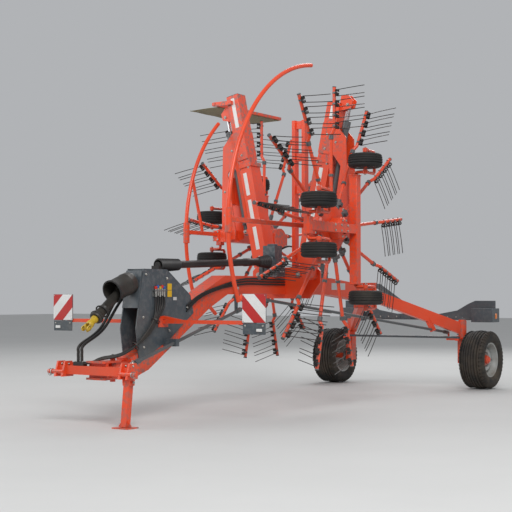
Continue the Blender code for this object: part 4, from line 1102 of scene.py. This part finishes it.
def front_shaft(front, bell):
    """The guarded shaft ahead of the tower, its bell and bands, and the yoke at its end."""
    along = (bell - front).normalized()
    length = (bell - front).length
    tube, drum, rings, yoke = Shape(), Shape(), Shape(), Shape()
    last = length - 0.12
    profile = [(0.046, 0.180), (0.066, 0.182), (0.070, 0.190), (0.070, 0.226), (0.064, 0.236),
               (0.052, 0.262), (0.050, 0.34), (0.0535, 0.345), (0.0535, 0.355), (0.0505, 0.36),
               (0.052, last - 0.02),
                (0.062, last - 0.012), (0.062, last), (0.046, last)]
    tube.turned(profile, front, along, 36)
    piece = tube.made("shaft_guard_tube", guard_plastic, "frame", 40, slot="guard")
    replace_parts(piece, "pto_guard")
    back_end, mouth_end = placed(0, 0.545, 1.478), placed(0, 0.245, 1.372)
    facing = (mouth_end - back_end).normalized()
    deep = (mouth_end - back_end).length
    profile = [(0.052, 0.0), (0.098, 0.0), (0.112, 0.012), (0.118, 0.03), (0.118, 0.085), (0.121, 0.09),
               (0.121, 0.102), (0.117, 0.108), (0.116, deep - 0.05), (0.120, deep - 0.03),
               (0.122, deep),
               (0.112, deep), (0.106, deep - 0.03), (0.104, 0.02), (0.052, 0.012)]
    drum.turned(profile, back_end, facing, 56)
    drum.made("shaft_guard_bell", guard_plastic, "frame", 40, slot="guard")
    mouth = [(0.1115, -0.010), (0.1255, -0.010), (0.1265, 0.002), (0.1115, 0.004)]
    rings.turned([(r, deep + h) for r, h in mouth], back_end, facing, 56)
    for at, inner in ((0.205, 0.069), (0.30, 0.060)):
        band = [(inner, at), (0.075, at), (0.075, at + 0.009), (inner, at + 0.009)]
        rings.turned(band, front, along, 36)
    rings.made("shaft_guard_bands", black_plastic, "frame", 40, slot="black_plastic")
    profile = [(0.019, 0.06), (0.036, 0.058), (0.041, 0.066), (0.041, 0.098), (0.035, 0.108),
               (0.035, 0.150), (0.042, 0.156), (0.042, 0.1785), (0.019, 0.1785)]
    yoke.turned(profile, front, along, 32)
    cross = front + along * 0.012
    for sign in (-1, 1):
        way = X_AXIS * sign
        ear = [front + way * 0.040 + along * a for a in (0.062, 0.03, 0.0)]
        for k, at in enumerate(ear[:-1]):
            middle = (at + ear[k + 1]) / 2 - way * 0.006 * (1 - k)
            yoke.box(middle, (0.016, 0.046 - 0.004 * k, 0.034), X_AXIS, along)
        yoke.disc(cross + way * 0.032, way, 0.027, 0.016, 28)
        yoke.disc(cross + way * 0.046, way, 0.016, 0.004, 20)
    for reach in (X_AXIS * 0.034, X_AXIS.cross(along) * 0.040):
        yoke.tube([cross - reach, cross + reach], 0.0125, 16)
    piece = yoke.made("shaft_yoke", yellow_paint, "pto_yoke", slot="yellow")
    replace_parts(rounded(piece, 0.002), "pto_yoke")


def rear_shaft(rear):
    """The bare shaft from the tower back to the gearbox, with folds at both ends."""
    start = placed(0, 0.99, TOWER_TOP_Z + 0.045)
    line = (rear - start).normalized()
    reach = (rear - start).length
    back, folds = Shape(), Shape()
    folds.turned(bellows(0.012, 0.37, (0.078, 0.066), 11, 0.014), start, line, 40)
    back.tube([start, start + line * 0.02], 0.040, 28)
    back.turned([(0.02, 0.36), (0.050, 0.362), (0.050, 0.372), (0.042, 0.380), (0.043, reach - 0.52),
                 (0.049, reach - 0.51), (0.049, reach - 0.40), (0.044, reach - 0.39),
                 (0.046, reach - 0.20), (0.02, reach - 0.20)], start, line, 36)
    folds.turned(bellows(reach - 0.215, reach - 0.004, (0.058, 0.086), 7, 0.010), start, line, 40)
    back.box(placed(0, 0.98, TOWER_TOP_Z + 0.0203), (0.10, 0.06, 0.04))
    piece = back.made("rear_shaft_tube", black_plastic, "frame", 40, slot="black_plastic")
    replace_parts(piece, "drive_shaft")
    folds.made("rear_shaft_bellows", black_plastic, "frame", 50, slot="black_plastic")


def gears_and_valves():
    """The ribs and covers of the gearbox, and the fittings of the valve block."""
    box_shape, brass = Shape(), Shape()
    low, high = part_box("gearbox")
    top = high.z
    for x in (-0.07, 0.0, 0.07):
        box_shape.box(Vector((x, low.y - 0.004, low.z + 0.11)), (0.012, 0.016, 0.17))
        box_shape.box(Vector((x, high.y + 0.004, low.z + 0.11)), (0.012, 0.016, 0.17))
    box_shape.turned([(0.03, -0.012), (0.080, -0.012), (0.088, -0.004), (0.088, 0.012), (0.03, 0.012)],
                     Vector((0, low.y, PTO_REAR[1] + 0.005)), Y_AXIS, 36)
    box_shape.disc(Vector((0, (low.y + high.y) / 2 + 0.01, top)), Z_AXIS, 0.065, 0.022, 32)
    for side in (-1, 1):
        way, cover = X_AXIS * side, Vector((0, low.y + 0.10, low.z + 0.11))
        box_shape.disc(cover + way * 0.1285, way, 0.070, 0.020, 32)
        for k in range(6):
            brass.bolt(cover + way * 0.147 + round_wheel(math.pi / 3 * k) * 0.054, way, 0.007)
    brass.bolt(Vector((0.05, low.y + 0.05, low.z + 0.2195)), Z_AXIS, 0.010)
    rounded(box_shape.made("gearbox_ribs", slate_paint, "frame", slot="slate"), 0.003)
    low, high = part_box("valve_block")
    for k in range(4):
        y = low.y + 0.05 + 0.08 * k
        brass.disc(Vector((0.04, y, high.z)), Z_AXIS, 0.014, 0.016, 6)
        brass.disc(Vector((-0.05, y, high.z - 0.042)), Z_AXIS, 0.016, 0.020, 8)
        brass.disc(Vector((-0.05, y, high.z - 0.024)), Z_AXIS, 0.011, 0.022, 16)
        for side in (-1, 1):
            brass.disc(Vector((side * 0.0995, y, low.z + 0.06)), X_AXIS * side, 0.015, 0.022, 6)
            brass.disc(Vector((side * 0.12, y, low.z + 0.06)), X_AXIS * side, 0.010, 0.016, 16)
    brass.made("gear_and_valve_fittings", zinc, "frame", slot="grey")


class RAKE_OT_drive_line(bpy.types.Operator):
    """Makes the guarded shaft ahead of the tower, its bell and yoke, and the shaft behind it"""

    bl_idname = "rake.drive_line"
    bl_label = "Make Drive Line"

    def execute(self, context):
        front, bell, rear = (placed(0, *at) for at in (PTO_FRONT, PTO_BELL, PTO_REAR))
        front_shaft(front, bell)
        rear_shaft(rear)
        gears_and_valves()
        return {"FINISHED"}


# Hoses ahead of the tower, and their couplings


def right_hoses():
    """Two hoses from the tower's right side to the clamp on the crossbar."""
    clamp_top = 0.56 + 0.045 + 0.04
    for k in range(2):
        start_y, start_z = 1.22 - 0.16 * k, 1.40 + 0.06 * k
        x = -0.195 - 0.05 * k
        route = [placed(-TOWER_SIDE - out, start_y, start_z) for out in (0.0003, 0.03, 0.06)]
        route += [placed(-0.21, start_y - 0.10, start_z + 0.05), placed(-0.24, 0.72 - 0.10 * k, 1.32),
                  placed(x - 0.005, 0.34, 0.98), placed(x, 0.03, 0.82),
                  placed(x, 0.0, 0.74), placed(x, 0.0, 0.69), placed(x, 0.0, clamp_top + 0.001)]
        hose = Shape()
        hose.tube(smooth_route(route), 0.016, 14)
        piece = hose.made(f"right_supply_hose_{k + 1}", hose_rubber, None, 60)
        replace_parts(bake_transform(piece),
                    f"hose_{k + 1}")


def left_hoses():
    """The bundle parked on the tower's left side, its rack, couplings and ties."""
    bundle, collars = Shape(), Shape()
    caps = {}
    finishes = (red_cap, blue_paint, yellow_paint, red_cap, blue_paint)
    for k in range(5):
        y = 0.80 + 0.036 * k
        x = TOWER_SIDE + 0.022
        top = 1.33 + 0.012 * (k % 2)
        spread = 0.016 * (k - 2)
        route = [placed(x, y, top), placed(x + 0.002, y - 0.004, top - 0.12),
                 placed(x + 0.012, 0.79 + spread, 1.08),
                 placed(x + 0.008, 0.66 + spread, 0.93),
                 placed(0.125, 0.48 + spread, 0.80 + spread * 0.5),
                 placed(0.075, 0.28 + spread * 0.4, 0.712 + spread * 0.35),
                 placed(-0.03, 0.11 + spread * 0.4, 0.678 + spread * 0.3),
                 placed(-0.10, 0.03 + spread * 0.5, 0.640), placed(-0.152, spread * 0.5, 0.626)]
        bundle.tube(smooth_route(route), 0.0105, 10)
        spot = placed(x, y, top - 0.01)
        collars.disc(spot, Z_AXIS, 0.014, 0.035, 6)
        collars.disc(spot + Z_AXIS * 0.034, Z_AXIS, 0.0155, 0.040, 20)
        collars.disc(spot + Z_AXIS * 0.073, Z_AXIS, 0.012, 0.012, 20)
        cap = caps.setdefault(finishes[k].__name__, (finishes[k], Shape()))[1]
        cap.disc(spot + Z_AXIS * 0.084, Z_AXIS, 0.0165, 0.030, 18)
    piece = bundle.made("left_supply_hoses", hose_rubber, None, 60)
    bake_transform(piece)
    rack = Shape()
    rack.box(placed(TOWER_SIDE + 0.004, 0.872, 1.37), (0.008, 0.22, 0.10))
    rack.box(placed(TOWER_SIDE + 0.022, 0.872, 1.385), (0.044, 0.22, 0.006))
    rounded(rack.made("coupling_rack", grey_paint, "frame", slot="grey"), 0.0015)
    collars.made("coupling_collars", zinc, "frame", slot="grey")
    for label, (finish, cap) in caps.items():
        cap.made(f"coupling_{label}s", finish, "frame", slot="paint")
    ties = Shape()
    for centre, along in ((placed(TOWER_SIDE + 0.032, 0.785, 1.06), Vector((0, 0.55, 0.83))),
                          (placed(0.125, 0.48, 0.80), Vector((0.3, 0.75, 0.55)))):
        band = [(0.047, -0.006), (0.050, -0.006), (0.050, 0.006), (0.047, 0.006)]
        ties.turned(band, centre, along, 24)
    piece = ties.made("hose_ties", black_plastic, None)
    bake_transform(piece)


def beam_hoses():
    """Three lines along the beam."""
    side_lines = Shape()
    for k in range(3):
        drop = 0.032 * k
        route = [placed(TOWER_SIDE + 0.003, 1.36, 1.22 - drop), placed(0.128, 1.60, 1.345 - drop * 0.6),
                 placed(0.116, 2.0, 1.445 - drop * 0.5)]
        route += [placed(0.1115, y, 1.535 - drop) for y in (2.5, 3.0, 3.38)]
        side_lines.tube(smooth_route(route), 0.0095, 8)
    side_lines.made("beam_hoses", hose_rubber, "frame", 60, slot="hose")


class RAKE_OT_hoses(bpy.types.Operator):
    """Makes the supply hoses from the tower to the headstock, and their couplings"""

    bl_idname = "rake.hoses"
    bl_label = "Make Supply Hoses"

    def execute(self, context):
        right_hoses()
        left_hoses()
        beam_hoses()
        return {"FINISHED"}


# Bolts, pins and labels on the fixed frame


TOWER_BOLTS = ((0.66, 1.56), (0.62, 1.10), (0.63, 0.78), (1.06, 0.95), (1.38, 1.20), (1.02, 1.52))


class RAKE_OT_fasteners(bpy.types.Operator):
    """Makes the bolts, hitch pins and blank labels of the frame and headstock"""

    bl_idname = "rake.fasteners"
    bl_label = "Make Fasteners"

    def execute(self, context):
        fixed, hitch, steer = Shape(), Shape(), Shape()
        for side in (-1, 1):
            out = X_AXIS * side
            for y, z in TOWER_BOLTS:
                fixed.bolt(placed(side * TOWER_SIDE, y, z), out, 0.012)
            for x, z in ((0.12, 0.10), (0.12, -0.02), (0.12, -0.14), (0.04, 0.135)):
                fixed.bolt(placed(side * x, 5.6048, 1.36 + z), -Y_AXIS, 0.014)
                fixed.bolt(placed(side * x, 5.6655, 1.36 + z), Y_AXIS, 0.014)
            for y_sign in (-1, 1):
                fixed.bolt(placed(side * 0.30, 3.60 + y_sign * 0.206, 1.60), Y_AXIS * y_sign, 0.024)
                fixed.bolt(placed(side * 0.085, 3.92 + y_sign * 0.085, 1.5942), Z_AXIS, 0.013)
            for inset in (0.012, 0.11):
                x = side * (0.50 - inset)
                for sign in (-1, 1):
                    for y, z in ((0.0, 0.62), (0.055, 0.52)):
                        hitch.bolt(placed(x + sign * 0.011, y, z), X_AXIS * sign, 0.010)
            tip = placed(side * 0.60, -0.068, 0.54)
            collar = [(0.0225, -0.012), (0.030, -0.012), (0.030, 0.0), (0.0225, 0.0)]
            hitch.turned(collar, tip - out * 0.045, out, 24)
            pin = tip - out * 0.020
            ring = circle(pin - Z_AXIS * 0.010, Y_AXIS * 0.030, Z_AXIS * 0.034, 1.0, 20)
            hitch.tube(ring, 0.0028, 6, closed=True)
            hitch.tube([pin + Z_AXIS * 0.032, pin - Z_AXIS * 0.036], 0.0045, 8)
        top = 0.56 + 0.075 + 0.022 + 0.030
        hitch.bolt(placed(0, 0.26, top), Z_AXIS, 0.026)
        hitch.bolt(placed(0.27, 0.26, 0.56 + 0.035 + 0.050), Z_AXIS, 0.013)
        boss = [(0.0145, 0.006), (0.030, 0.008), (0.034, 0.018), (0.034, 0.026), (0.030, 0.036),
                (0.0145, 0.038)]
        hitch.turned(boss, placed(0.27, 0.26, 0.605), Z_AXIS, 28)
        for x in (0.375, 0.505):
            way = X_AXIS * (1 if x > 0.44 else -1)
            hitch.bolt(placed(x, 0, 0.46), way, 0.012)
        for x in (-0.27, -0.17):
            hitch.bolt(placed(x, -0.018, 0.6448), Z_AXIS, 0.007)
            hitch.bolt(placed(x, 0.018, 0.6448), Z_AXIS, 0.007)
        fixed.made("frame_bolts", zinc, "frame", slot="grey")
        hitch.made("headstock_bolts", zinc, "headstock", slot="grey")
        steer.bolt(placed(0.1263, 2.33, 1.42), X_AXIS, 0.018)
        steer.made("steering_lever_bolt", zinc, "frame", slot="grey")
        for side, name in SIDES:
            kingpin = joint_at(f"{name}_steer")
            cap = Shape()
            cap.disc(Vector((kingpin.x, kingpin.y, 0.9903)), Z_AXIS, 0.050, 0.010, 32)
            cap.bolt(Vector((kingpin.x, kingpin.y, 0.999)), Z_AXIS, 0.016)
            hub = joint_at(f"{name}_wheel_spin")
            cap.turned([(0.0405, 0.0), (0.072, 0.0), (0.078, 0.008), (0.078, 0.028), (0.0405, 0.034)],
                       Vector((hub.x - side * 0.215, hub.y, hub.z)), X_AXIS * side, 36)
            cap.bolt(Vector((kingpin.x, kingpin.y - 0.16, 0.7747)), Z_AXIS, 0.012)
            cap.made(f"{name}_kingpin_cap", grey_paint, f"{name}_knuckle", slot="grey")
        yellow, pale = Shape(), Shape()
        for k in range(2):
            yellow.box(placed(TOWER_SIDE + 0.0009, 1.065, 1.43 - 0.076 * k), (0.0014, 0.074, 0.070))
        pale.box(placed(TOWER_SIDE + 0.0009, 1.16, 1.30), (0.0014, 0.06, 0.035))
        pale.box(placed(0.1009, 4.72, 1.46), (0.0014, 0.36, 0.09))
        pale.box(placed(-0.1009, 4.72, 1.46), (0.0014, 0.36, 0.09))
        yellow.made("tower_labels", yellow_label, "frame", slot="yellow")
        pale.made("plain_labels", pale_label, "frame", slot="panel")
        return {"FINISHED"}


# Warning panels and lamps


def warning_panel(side, name):
    """One striped panel on its backing board."""
    low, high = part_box(f"{name}_warning_panel")
    middle, wide = (low + high) / 2, high.x - low.x
    square = Vector((middle.x, middle.y, high.z - wide / 2))
    face, board, lens, bolts = Shape(), Shape(), Shape(), Shape()
    for forward in (-1, 1):
        face.box(square + Y_AXIS * forward * 0.0055, (wide - 0.006, 0.0028, wide - 0.006))
    finish = functools.partial(striped, side)
    piece = face.made(f"{name}_striped_faces", finish, "frame", slot="panel")
    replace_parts(rounded(piece, 0.001), f"{name}_warning_panel")
    board.box(square, (wide, 0.008, wide))
    board.box(Vector((middle.x, middle.y, low.z + 0.058)), (wide - 0.02, 0.012, 0.116))
    board.box(Vector((middle.x, middle.y + 0.006, low.z + 0.10)), (0.05, 0.010, 0.16))
    rounded(board.made(f"{name}_panel_board", slate_paint, "frame", slot="slate"), 0.003)
    spot = Vector((middle.x + side * 0.07, middle.y - 0.006, low.z + 0.045))
    lens.box(spot - Y_AXIS * 0.006, (0.070, 0.012, 0.030))
    rounded(lens.made(f"{name}_panel_lens", reflective_white, "frame", slot="panel"), 0.004)
    for x in (-0.11, 0.11):
        bolts.bolt(Vector((middle.x + x, middle.y - 0.006, low.z + 0.09)), -Y_AXIS, 0.008)
    for x in (-0.135, 0.135):
        for z in (-0.135, 0.135):
            bolts.disc(square + Vector((x, -0.0068, z)), -Y_AXIS, 0.006, 0.002, 14)
    bolts.made(f"{name}_panel_bolts", zinc, "frame", slot="grey")


class RAKE_OT_signs(bpy.types.Operator):
    """Makes the striped panels with their backing boards, side lamps and clamps"""

    bl_idname = "rake.signs"
    bl_label = "Make Warning Panels"

    def execute(self, context):
        for side, name in SIDES:
            warning_panel(side, name)
        return {"FINISHED"}


def rear_lamp(side, name):
    """One rear lamp unit, with its hood, plate and lenses."""
    low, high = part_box(f"{name}_rear_lamp")
    middle = (low + high) / 2
    wide, tall, deep = high.x - low.x, high.z - low.z, high.y - low.y
    case, red, amber, hood = Shape(), Shape(), Shape(), Shape()
    case.box(middle - Y_AXIS * 0.008, (wide, deep - 0.016, tall))
    third = (wide - 0.016) / 3
    for k in range(3):
        shape = amber if k == (2 if side > 0 else 0) else red
        spot = Vector((low.x + 0.008 + third * (k + 0.5), high.y - 0.012, middle.z))
        shape.box(spot, (third - 0.004, 0.022, tall - 0.016))
    piece = case.made(f"{name}_lamp_case", black_plastic, "frame", slot="black_plastic")
    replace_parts(rounded(piece, 0.004), f"{name}_rear_lamp")
    rounded(red.made(f"{name}_red_lens", red_lens, "frame", slot="lamp"), 0.003)
    front = low.y
    hood_low, hood_high = middle.z - 0.07, middle.z + 0.13
    inner, outer = side * 0.955, side * 1.285
    centre_x, width = (inner + outer) / 2, abs(outer - inner)
    hood.box(Vector((centre_x, front - 0.10, hood_high)), (width, 0.25, 0.008))
    height, hood_z = hood_high - hood_low, (hood_low + hood_high) / 2
    hood.box(Vector((centre_x, front - 0.222, hood_z)), (width, 0.008, height))
    for x in (inner, outer):
        hood.box(Vector((x, front - 0.10, hood_z)), (0.008, 0.25, height))
    rounded(hood.made(f"{name}_lamp_hood", slate_paint, "frame", slot="slate"), 0.003)
    plate = Shape()
    outline = [(0.30, 0.035), (0.66, 0.10), (0.84, 0.20), (0.95, 0.245), (1.27, 0.245),
               (1.27, 0.10), (0.95, -0.03), (0.30, -0.03)]
    plate.loft([[Vector((side * x, front - y, middle.z + z)) for x, z in outline]
                for y in (0.062, 0.070)])
    rounded(plate.made(f"{name}_rear_guard_plate", slate_paint, "frame", slot="slate"), 0.002)
    amber.box(Vector((outer + side * 0.006, front - 0.10, middle.z + 0.02)), (0.012, 0.05, 0.075))
    rounded(amber.made(f"{name}_amber_lenses", amber_lens, "frame", slot="lamp"), 0.003)
    bolts = Shape()
    for x in (0.36, 0.50, 0.64, 1.02, 1.14, 1.22):
        bolts.bolt(Vector((side * x, front - 0.0702, middle.z)), -Y_AXIS, 0.008)
    bolts.made(f"{name}_lamp_bolts", zinc, "frame", slot="grey")


class RAKE_OT_lamps(bpy.types.Operator):
    """Makes the rear lamp units, their hoods, side markers and the guard behind each wheel"""

    bl_idname = "rake.lamps"
    bl_label = "Make Lamps"

    def execute(self, context):
        for side, name in SIDES:
            rear_lamp(side, name)
        return {"FINISHED"}


# Curtain


class RAKE_OT_curtain(bpy.types.Operator):
    """Makes the coated cloth of the swath curtain, its hem and its clips"""

    bl_idname = "rake.curtain"
    bl_label = "Make Curtain"

    def execute(self, context):
        low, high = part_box("curtain")
        width, length = high.x - low.x, high.y - low.y
        across, along = 18, 60
        cloth = Shape()
        points, faces = [], []
        for i in range(along + 1):
            for j in range(across + 1):
                u, v = j / across, i / along
                wave = math.sin(v * 21.0 + u * 2.0) * 0.5 + math.sin(v * 9.0 - u * 4.0) * 0.5
                sag = 0.0045 * wave * (1 - u) - 0.012 * (1 - u) ** 2
                points.append((low.x + width * u, low.y + length * v, (low.z + high.z) / 2 + sag))
        for i in range(along):
            for j in range(across):
                k = i * (across + 1) + j
                faces.append((k, k + 1, k + across + 2, k + across + 1))
        cloth.add(points, faces)
        piece = cloth.made("swath_curtain", curtain_cloth, "right_boom_slide", 60, slot="curtain")
        thick = piece.modifiers.new("Cloth", "SOLIDIFY")
        thick.thickness = 0.0025
        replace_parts(piece, "curtain")
        hem, clips = Shape(), Shape()
        edge = [Vector(points[i * (across + 1)]) for i in range(along + 1)]
        hem.tube(edge, 0.0055, 8)
        hem.made("curtain_hem", curtain_cloth, "right_boom_slide", 60, slot="curtain")
        for k in range(7):
            at = Vector((high.x - 0.035, low.y + 0.06 + (length - 0.12) * k / 6, high.z - 0.001))
            clips.box(at + Z_AXIS * 0.001, (0.030, 0.045, 0.004))
            clips.bolt(at - Z_AXIS * 0.012, -Z_AXIS, 0.006)
        rounded(clips.made("curtain_clips", zinc, "right_boom_slide", slot="grey"), 0.001)
        return {"FINISHED"}


# Stage

CAMERA_YAW = math.radians(34.50)  # turned left from straight ahead
CAMERA_PITCH = 0.0347  # upwards
LIGHTS = (("key", (9, -11, 11), 1500, 7.0), ("fill", (-10, -8, 7), 520, 9.0),
          ("back", (-3, 11, 10), 700, 8.0))  # name, place, power, width
FLOOR_HALF = 60.0


class RAKE_OT_stage(bpy.types.Operator):
    """Makes the floor, the lights and the camera"""

    bl_idname = "rake.stage"
    bl_label = "Make Stage"

    def execute(self, context):
        scene = context.scene
        mesh = bpy.data.meshes.new("floor")
        size = FLOOR_HALF
        corners = [(-size, -size, 0), (size, -size, 0), (size, size, 0), (-size, size, 0)]
        mesh.from_pydata(corners, [], [(0, 1, 2, 3)])
        floor = bpy.data.objects.new("floor", mesh)
        scene.collection.objects.link(floor)

        def build(tree, shader):
            shade = blend_colours(tree, noise(tree, 0.6, 6.0), (0.54, 0.54, 0.53, 1), (0.60, 0.60, 0.59, 1))
            tree.links.new(shade, shader.inputs["Base Color"])
            shader.inputs["Roughness"].default_value = 0.9

        mesh.materials.append(material("Studio floor", build))
        world = bpy.data.worlds.new("studio")
        world.use_nodes = True
        background = world.node_tree.nodes["Background"]
        background.inputs["Color"].default_value = (0.80, 0.82, 0.85, 1)
        background.inputs["Strength"].default_value = 0.55
        scene.world = world
        for name, at, power, area in LIGHTS:
            lamp = bpy.data.lights.new(name, "AREA")
            lamp.energy = power
            lamp.size = area
            made = bpy.data.objects.new(name, lamp)
            made.location = at
            made.rotation_euler = (Vector((0, 0, 1.4)) - Vector(at)).to_track_quat("-Z", "Y").to_euler()
            scene.collection.objects.link(made)
        lens = bpy.data.cameras.new("camera")
        lens.sensor_width = 36.0
        lens.lens = 84.4
        camera = bpy.data.objects.new("camera", lens)
        level, rise = math.cos(CAMERA_PITCH), math.sin(CAMERA_PITCH)
        forward = Vector((-math.sin(CAMERA_YAW) * level, math.cos(CAMERA_YAW) * level, rise))
        camera.location = placed(8.36, -9.26, 1.31)
        camera.rotation_euler = forward.to_track_quat("-Z", "Y").to_euler()
        scene.collection.objects.link(camera)
        scene.camera = camera
        scene.view_settings.view_transform = "Standard"
        return {"FINISHED"}


class RAKE_PT_panel(bpy.types.Panel):
    bl_idname = "RAKE_PT_panel"
    bl_label = "Hay Rake"
    bl_space_type = "VIEW_3D"
    bl_region_type = "UI"
    bl_category = "Hay Rake"

    def draw(self, context):
        for settings in (context.scene.rake_colours, context.scene.rake_sizes):
            for name in settings.__annotations__:
                self.layout.prop(settings, name)
        for made in OPERATORS:
            self.layout.operator(made.bl_idname)


OPERATORS = (
    RAKE_OT_stage, RAKE_OT_metalwork, RAKE_OT_rotors, RAKE_OT_rotor_frames, RAKE_OT_wheels, RAKE_OT_booms,
    RAKE_OT_drive_line, RAKE_OT_hoses, RAKE_OT_fasteners, RAKE_OT_signs, RAKE_OT_lamps, RAKE_OT_curtain,
)
CLASSES = (RakeColours, RakeSizes, *OPERATORS, RAKE_PT_panel)


def register():
    for each in CLASSES:
        bpy.utils.register_class(each)
    bpy.types.Scene.rake_colours = bpy.props.PointerProperty(type=RakeColours)
    bpy.types.Scene.rake_sizes = bpy.props.PointerProperty(type=RakeSizes)


def unregister():
    del bpy.types.Scene.rake_sizes
    del bpy.types.Scene.rake_colours
    for each in reversed(CLASSES):
        bpy.utils.unregister_class(each)


def main():
    register()
    for made in OPERATORS:
        group_name, call = made.bl_idname.split(".")
        if getattr(getattr(bpy.ops, group_name), call)() != {"FINISHED"}:
            raise RuntimeError(f"{made.bl_idname} didn't finish")
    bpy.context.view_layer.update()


if __name__ == "__main__":
    main()
